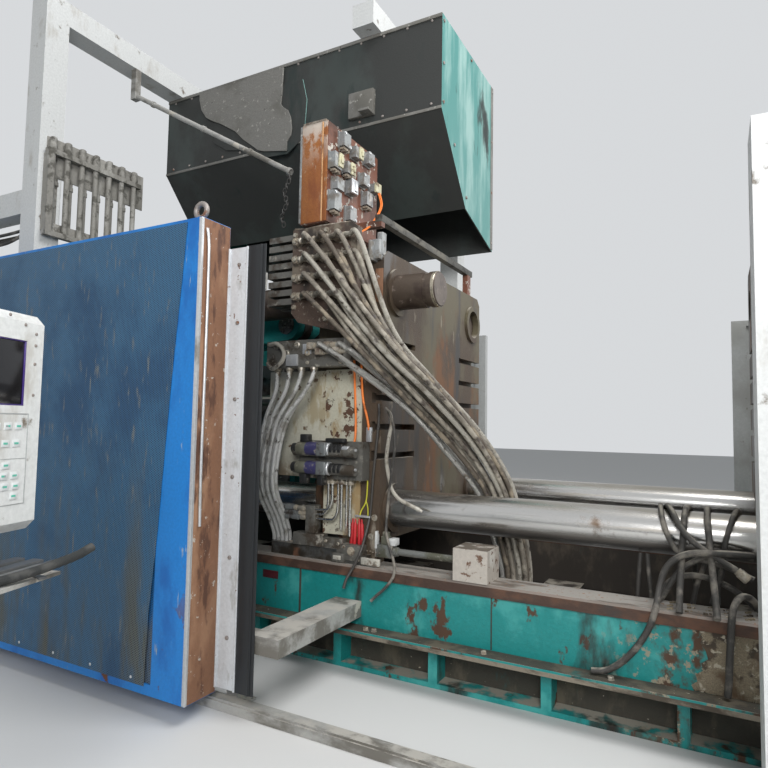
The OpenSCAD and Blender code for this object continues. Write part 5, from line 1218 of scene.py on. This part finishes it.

# Loose hoses at the fixed platen's end: worn lines that fitters left over the tie bar and the
# guide rail. Each has its cut or plugged end, and one still carries its crimped fitting.
# The rest, without a bare end or a fitting, are short lengths inside the machine.
crimped_end = placed(turned([(0, 0), (0.021, 0), (0.021, 0.012), (0.025, 0.016), (0.025, 0.06),
    (0.019, 0.066), (0, 0.066)], 14), [(-0.158, -0.985, 0.907)], (0.72, -0.1, -0.62))
fitted(crimped_end, "loose_hose_fitting", zinc, "root")
loose = [
    ("bare", 0.03, 5, [(-0.515, -0.64, 1.06), (-0.525, -0.665, 1.145), (-0.53, -0.7, 1.17),
        (-0.528, -0.765, 1.184), (-0.52, -0.845, 1.165), (-0.505, -0.905, 1.11),
        (-0.48, -0.93, 1.04), (-0.44, -0.945, 0.975), (-0.395, -0.95, 0.95),
        (-0.33, -0.95, 0.938), (-0.25, -0.95, 0.925), (-0.165, -0.952, 0.9),
        (-0.085, -0.955, 0.865)]),
    ("fitting", 0.032, 5, [(-0.5, -0.62, 1.02), (-0.502, -0.655, 1.13),
        (-0.5, -0.7, 1.172), (-0.49, -0.765, 1.186), (-0.465, -0.85, 1.17),
        (-0.435, -0.925, 1.125), (-0.4, -0.965, 1.075), (-0.355, -0.985, 1.03),
        (-0.3, -0.99, 0.99), (-0.24, -0.99, 0.955), (-0.16, -0.985, 0.908)]),
    ("", 0.028, 5, [(-0.12, -0.64, 1.0), (-0.13, -0.672, 1.14), (-0.14, -0.72, 1.176),
        (-0.15, -0.775, 1.183), (-0.168, -0.85, 1.162), (-0.19, -0.912, 1.1),
        (-0.208, -0.925, 1.03), (-0.215, -0.925, 0.97), (-0.222, -0.92, 0.9),
        (-0.24, -0.905, 0.82), (-0.262, -0.895, 0.745), (-0.275, -0.9, 0.702)]),
    ("bare", 0.034, 6, [(-0.085, -0.9, 0.975), (-0.18, -0.965, 0.985), (-0.29, -1.01, 0.985),
        (-0.37, -1.015, 0.975), (-0.44, -1.015, 0.94), (-0.49, -1.02, 0.88),
        (-0.515, -1.035, 0.8), (-0.525, -1.08, 0.735), (-0.535, -1.112, 0.68),
        (-0.56, -1.117, 0.6), (-0.6, -1.117, 0.52), (-0.655, -1.117, 0.44),
        (-0.715, -1.12, 0.378), (-0.78, -1.125, 0.335), (-0.85, -1.13, 0.322)]),
    ("", 0.03, 5, [(-0.085, -0.885, 0.955), (-0.19, -0.915, 0.965), (-0.29, -0.95, 0.955),
        (-0.36, -0.97, 0.925), (-0.415, -0.98, 0.88), (-0.455, -0.985, 0.825),
        (-0.485, -0.985, 0.77), (-0.51, -0.985, 0.725), (-0.535, -0.985, 0.697)]),
    ("", 0.032, 5, [(-0.53, -0.9, 0.7), (-0.51, -0.885, 0.745), (-0.475, -0.875, 0.79),
        (-0.42, -0.87, 0.822), (-0.35, -0.87, 0.835), (-0.27, -0.872, 0.825),
        (-0.19, -0.878, 0.795), (-0.12, -0.885, 0.75), (-0.07, -0.89, 0.702)]),
    ("", 0.034, 6, [(-0.06, -0.91, 0.705), (-0.085, -0.95, 0.755), (-0.12, -1.005, 0.787),
        (-0.153, -1.055, 0.785), (-0.178, -1.095, 0.745), (-0.188, -1.113, 0.69),
        (-0.194, -1.115, 0.6), (-0.2, -1.116, 0.5), (-0.205, -1.118, 0.4),
        (-0.212, -1.122, 0.32)]),
    ("", 0.024, 5, [(-0.632, -0.815, 0.915), (-0.636, -0.822, 0.86), (-0.642, -0.826, 0.78),
        (-0.648, -0.826, 0.69), (-0.65, -0.824, 0.6), (-0.652, -0.82, 0.5)]),
    ("", 0.024, 5, [(-0.596, -0.812, 0.914), (-0.592, -0.822, 0.86), (-0.586, -0.827, 0.78),
        (-0.578, -0.826, 0.69), (-0.574, -0.824, 0.6), (-0.572, -0.82, 0.52)]),
    ("", 0.026, 5, [(-0.3, -0.815, 0.915), (-0.318, -0.824, 0.86), (-0.345, -0.828, 0.78),
        (-0.365, -0.827, 0.69), (-0.375, -0.824, 0.6), (-0.38, -0.82, 0.5)])]
for i, (end, thick, steps, points) in enumerate(loose):
    cord = {"far_end": end, "stiffness": "medium",
        "with_pieces": [crimped_end] if end == "fitting" else ()} if end else {}
    laid_hose(f"loose_hose_{i}", points, thick, hose_black, "root", "hose_dark", steps, 3, **cord)

# Clamp end: bolt circles and hose ports of the closing cylinder, wrench flats of the tie bar
# nuts, cap plates with screws on the toggle's pins, and grease nipples on the links.
bright_screw = worn("oiled_screw", (0.3, 0.29, 0.27), 0.35, 0.9, (
    ((0.06, 0.045, 0.03), 12, 0.5, 0.62, 0.4, 0.3),), bump=0.05)

def ring_of(radius, count, x, y, z, start=0.0):
    """Places on a bolt circle in a plane across the machine."""
    return [(x, y + radius * math.cos(start + 2 * math.pi * i / count),
        z + radius * math.sin(start + 2 * math.pi * i / count)) for i in range(count)]

axis_height = 1.805
cylinder_bolts = joined([
    bolt_heads(0.05, 0.032, ring_of(0.245, 12, -4.617, 0, axis_height), backward),
    bolt_heads(0.036, 0.024, ring_of(0.2, 16, -5.957, 0, axis_height, 0.2),
        backward)])
fitted(cylinder_bolts, "closing_cylinder_bolts", bright_screw, "root")
ports = joined([placed(turned([(0, 0), (0.06, 0), (0.06, 0.03), (0.04, 0.034),
    (0.04, 0.075), (0.046, 0.078), (0.046, 0.1), (0.03, 0.106), (0, 0.106)], 20),
    [(-4.8, 0, axis_height + 0.205), (-5.76, 0, axis_height + 0.205)])])
fitted(ports, "closing_cylinder_ports", valve_grey, "root")
for i, points in enumerate((
        [(-4.8, 0, 2.11), (-4.8, 0, 2.17), (-4.84, 0.01, 2.215), (-4.9, 0.03, 2.225),
            (-5.05, 0.1, 2.17), (-5.2, 0.18, 2.07), (-5.3, 0.26, 1.93), (-5.36, 0.3, 1.75),
            (-5.4, 0.31, 1.55), (-5.42, 0.3, 1.42), (-5.43, 0.295, 1.335)],
        [(-5.76, 0, 2.11), (-5.76, 0, 2.16), (-5.76, -0.03, 2.205), (-5.755, -0.09, 2.215),
            (-5.74, -0.19, 2.13), (-5.72, -0.27, 1.96), (-5.69, -0.31, 1.76),
            (-5.66, -0.315, 1.56), (-5.64, -0.3, 1.42), (-5.63, -0.295, 1.335)])):
    laid_hose(f"closing_cylinder_hose_{i}", points, 0.046, hose_black, "root", "hose_dark", 5, 4)

nut_bolts = joined([bolt_heads(0.042, 0.026, ring_of(0.205, 8, 0.7, y, z, 0.39),
    forward) for y in (-0.765, 0.765) for z in (1.04, 2.57)])
fitted(nut_bolts, "front_nut_bolts", bright_screw, "root")
holes = [placed(turned([(0, 0), (0.02, 0), (0.02, 0.003), (0.026, 0.004), (0.03, 0.0045),
    (0.03, 0), (0, 0)], 14), ring_of(0.205, 6, -4.8575, y, z, 0.5), backward)
    for y in (-0.765, 0.765) for z in (1.04, 2.57)]
fitted(joined(holes), "adjusting_nut_spanner_holes", plug_black, "root")

def pin_caps(name, x, z, faces, radius, body):
    """Cap plates on both ends of a pin, with four screws and a nipple each."""
    parts = []
    for y in faces:
        out = 1 if y > 0 else -1
        parts.append(placed(turned([(0, 0), (radius, 0), (radius, 0.01), (radius * 0.94, 0.014),
            (radius * 0.3, 0.014), (radius * 0.28, 0.008), (0, 0.008)], 28), [(x, y, z)],
            (0, out, 0)))
        parts.append(bolt_heads(0.022, 0.014, [(x + 0.66 * radius * math.cos(turn),
            y + 0.013 * out, z + 0.66 * radius * math.sin(turn))
            for turn in (0.8, 2.37, 3.94, 5.51)], (0, out, 0)))
        parts.append(placed(turned([(0, 0), (0.009, 0), (0.009, 0.01), (0.004, 0.014),
            (0.006, 0.02), (0.003, 0.026), (0, 0.026)], 10), [(x, y + 0.008 * out, z)],
            (0, out, 0)))
    fitted(joined(parts), name, bright_screw, body)

for level, height in (("upper", axis_height + 0.64), ("lower", axis_height - 0.64)):
    pin_caps(f"rear_pin_caps_{level}", -3.417, height, (-0.54, 0.54), 0.076,
        f"rear_link_{level}")
    pin_caps(f"front_pin_caps_{level}", -2.99, height, (-0.435, 0.435), 0.07,
        f"front_link_{level}")

ejector_bolts = joined([bolt_heads(0.026, 0.016, ring_of(0.092, 8, -3.41, 0,
    axis_height, 0.2), backward), placed(turned([(0, 0), (0.055, 0), (0.06, 0.008),
    (0.06, 0.016), (0.03, 0.02), (0, 0.02)], 24), [(-3.41, 0, axis_height)], backward)])
fitted(ejector_bolts, "ejector_bolts", bright_screw)

# Oil tank and pump sets: clean-out covers with their bolts, filler and gauge, cooling fins and
# fan cowls of the motors, and junction boxes.
tank_face, tank_top = 0.56, 0.91
covers, cover_bolts = [], []
for x in (-6.15, -5.42):
    for side in (-1, 1):
        low, high = sorted((side * tank_face, side * (tank_face + 0.014)))
        covers.append(block((x - 0.21, low, 0.26), (x + 0.21, high, 0.7), 0.004))
        cover_bolts.append(placed(hex_head(0.024, 0.014),
            [(x + 0.18 * math.cos(a), side * (tank_face + 0.014), 0.48 + 0.19 * math.sin(a))
            for a in (0.0, 0.79, 1.57, 2.36, 3.14, 3.93, 4.71, 5.5)], (0, side, 0)))
fitted(joined(covers), "tank_covers", bed_paint, "root")
fitted(joined(cover_bolts), "tank_cover_bolts", bright_screw, "root")
tank_small = joined([
    placed(turned([(0, 0), (0.055, 0), (0.055, 0.02), (0.045, 0.026), (0.045, 0.07),
        (0.06, 0.074), (0.06, 0.11), (0.05, 0.118), (0, 0.118)], 24),
        [(-5.1, -0.38, tank_top), (-5.1, 0.38, tank_top)]),
    block((-6.62, -0.578, 0.3), (-6.57, -0.56, 0.62), 0.004)])
fitted(tank_small, "tank_fillers_and_gauge", alloy, "root")

def around(part, count, centre, start=0.0):
    """Copies a part round an axis that runs along the machine through the centre."""
    own = part.matrix_world.copy()
    copies = [part]
    for i in range(1, count):
        copy = part.copy()
        copy.data = part.data.copy()
        bpy.context.scene.collection.objects.link(copy)
        copies.append(copy)
    for i, copy in enumerate(copies):
        copy.matrix_world = (Matrix.Translation(centre)
            @ Matrix.Rotation(start + 2 * math.pi * i / count, 4, "X") @ own)
    return joined(copies)

motor_parts = []
for side in (-1, 1):
    y, z = side * 0.28, 1.12
    motor_parts.append(around(block((-6.44, -0.0035, 0.184), (-5.96, 0.0035, 0.204),
        0.002, 1), 32, (0, y, z), 0.05))
    motor_parts.append(placed(turned([(0, 0), (0.07, 0), (0.08, -0.006), (0.186, -0.006),
        (0.197, 0.004), (0.197, 0.09), (0.19, 0.092)], 32), [(-6.502, y, z)], forward))
    motor_parts.append(block((-6.32, y - 0.07, z + 0.18), (-6.1, y + 0.07, z + 0.262),
        0.008))
    motor_parts.append(bolt_heads(0.028, 0.018, ring_of(0.083, 6, -5.352, y, z),
        forward))
fitted(joined(motor_parts), "motor_fins_and_cowls", cylinder_paint, "root")

# Injection end: bolt circles of the shot cylinder, valves and clamps of the gas bottles, pipes
# between them, and the tie nuts of the injection plate.
shot_height = 1.605
shot_bolts = joined([
    bolt_heads(0.04, 0.026, ring_of(0.184, 12, 2.26, 0, shot_height), forward),
    bolt_heads(0.036, 0.024, ring_of(0.17, 12, 3.67, 0, shot_height, 0.2), forward),
    bolt_heads(0.06, 0.04, [(2.18, y, z) for y in (-0.45, 0.45)
        for z in (1.205, 2.005)], forward)])
fitted(shot_bolts, "shot_cylinder_bolts", bright_screw, "root")
bottles = []
for y in (-0.43, 0.43):
    bottles.append(placed(turned([(0.181, 0), (0.188, 0.002), (0.188, 0.056), (0.181, 0.058)],
        36), [(2.94, y, 1.36), (2.94, y, 2.22)]))
    bottles.append(placed(turned([(0, 0), (0.06, 0), (0.06, 0.018), (0.03, 0.024),
        (0.03, 0.07), (0.02, 0.076), (0, 0.076)], 20), [(2.94, y, 2.64)]))
    bottles.append(block((2.94 - 0.05, y - 0.03, 1.36), (2.94 + 0.05, y + 0.03, 1.4),
        0.004))
fitted(joined(bottles), "gas_bottle_clamps", zinc, "root")
for i, y in enumerate((-0.43, 0.43)):
    side = -1 if y < 0 else 1
    laid_hose(f"gas_bottle_pipe_{i}", [(2.94, y, 2.705), (2.94, y, 2.78),
        (2.935, y - 0.02 * side, 2.835), (2.92, y - 0.08 * side, 2.865),
        (2.88, y - 0.2 * side, 2.84), (2.82, y - 0.3 * side, 2.72),
        (2.76, y - 0.335 * side, 2.5), (2.71, y - 0.345 * side, 2.25),
        (2.67, y - 0.35 * side, 2.05), (2.66, y - 0.35 * side, 1.925)], 0.04, hose_black,
        "root", "hose_dark", 5, 4)
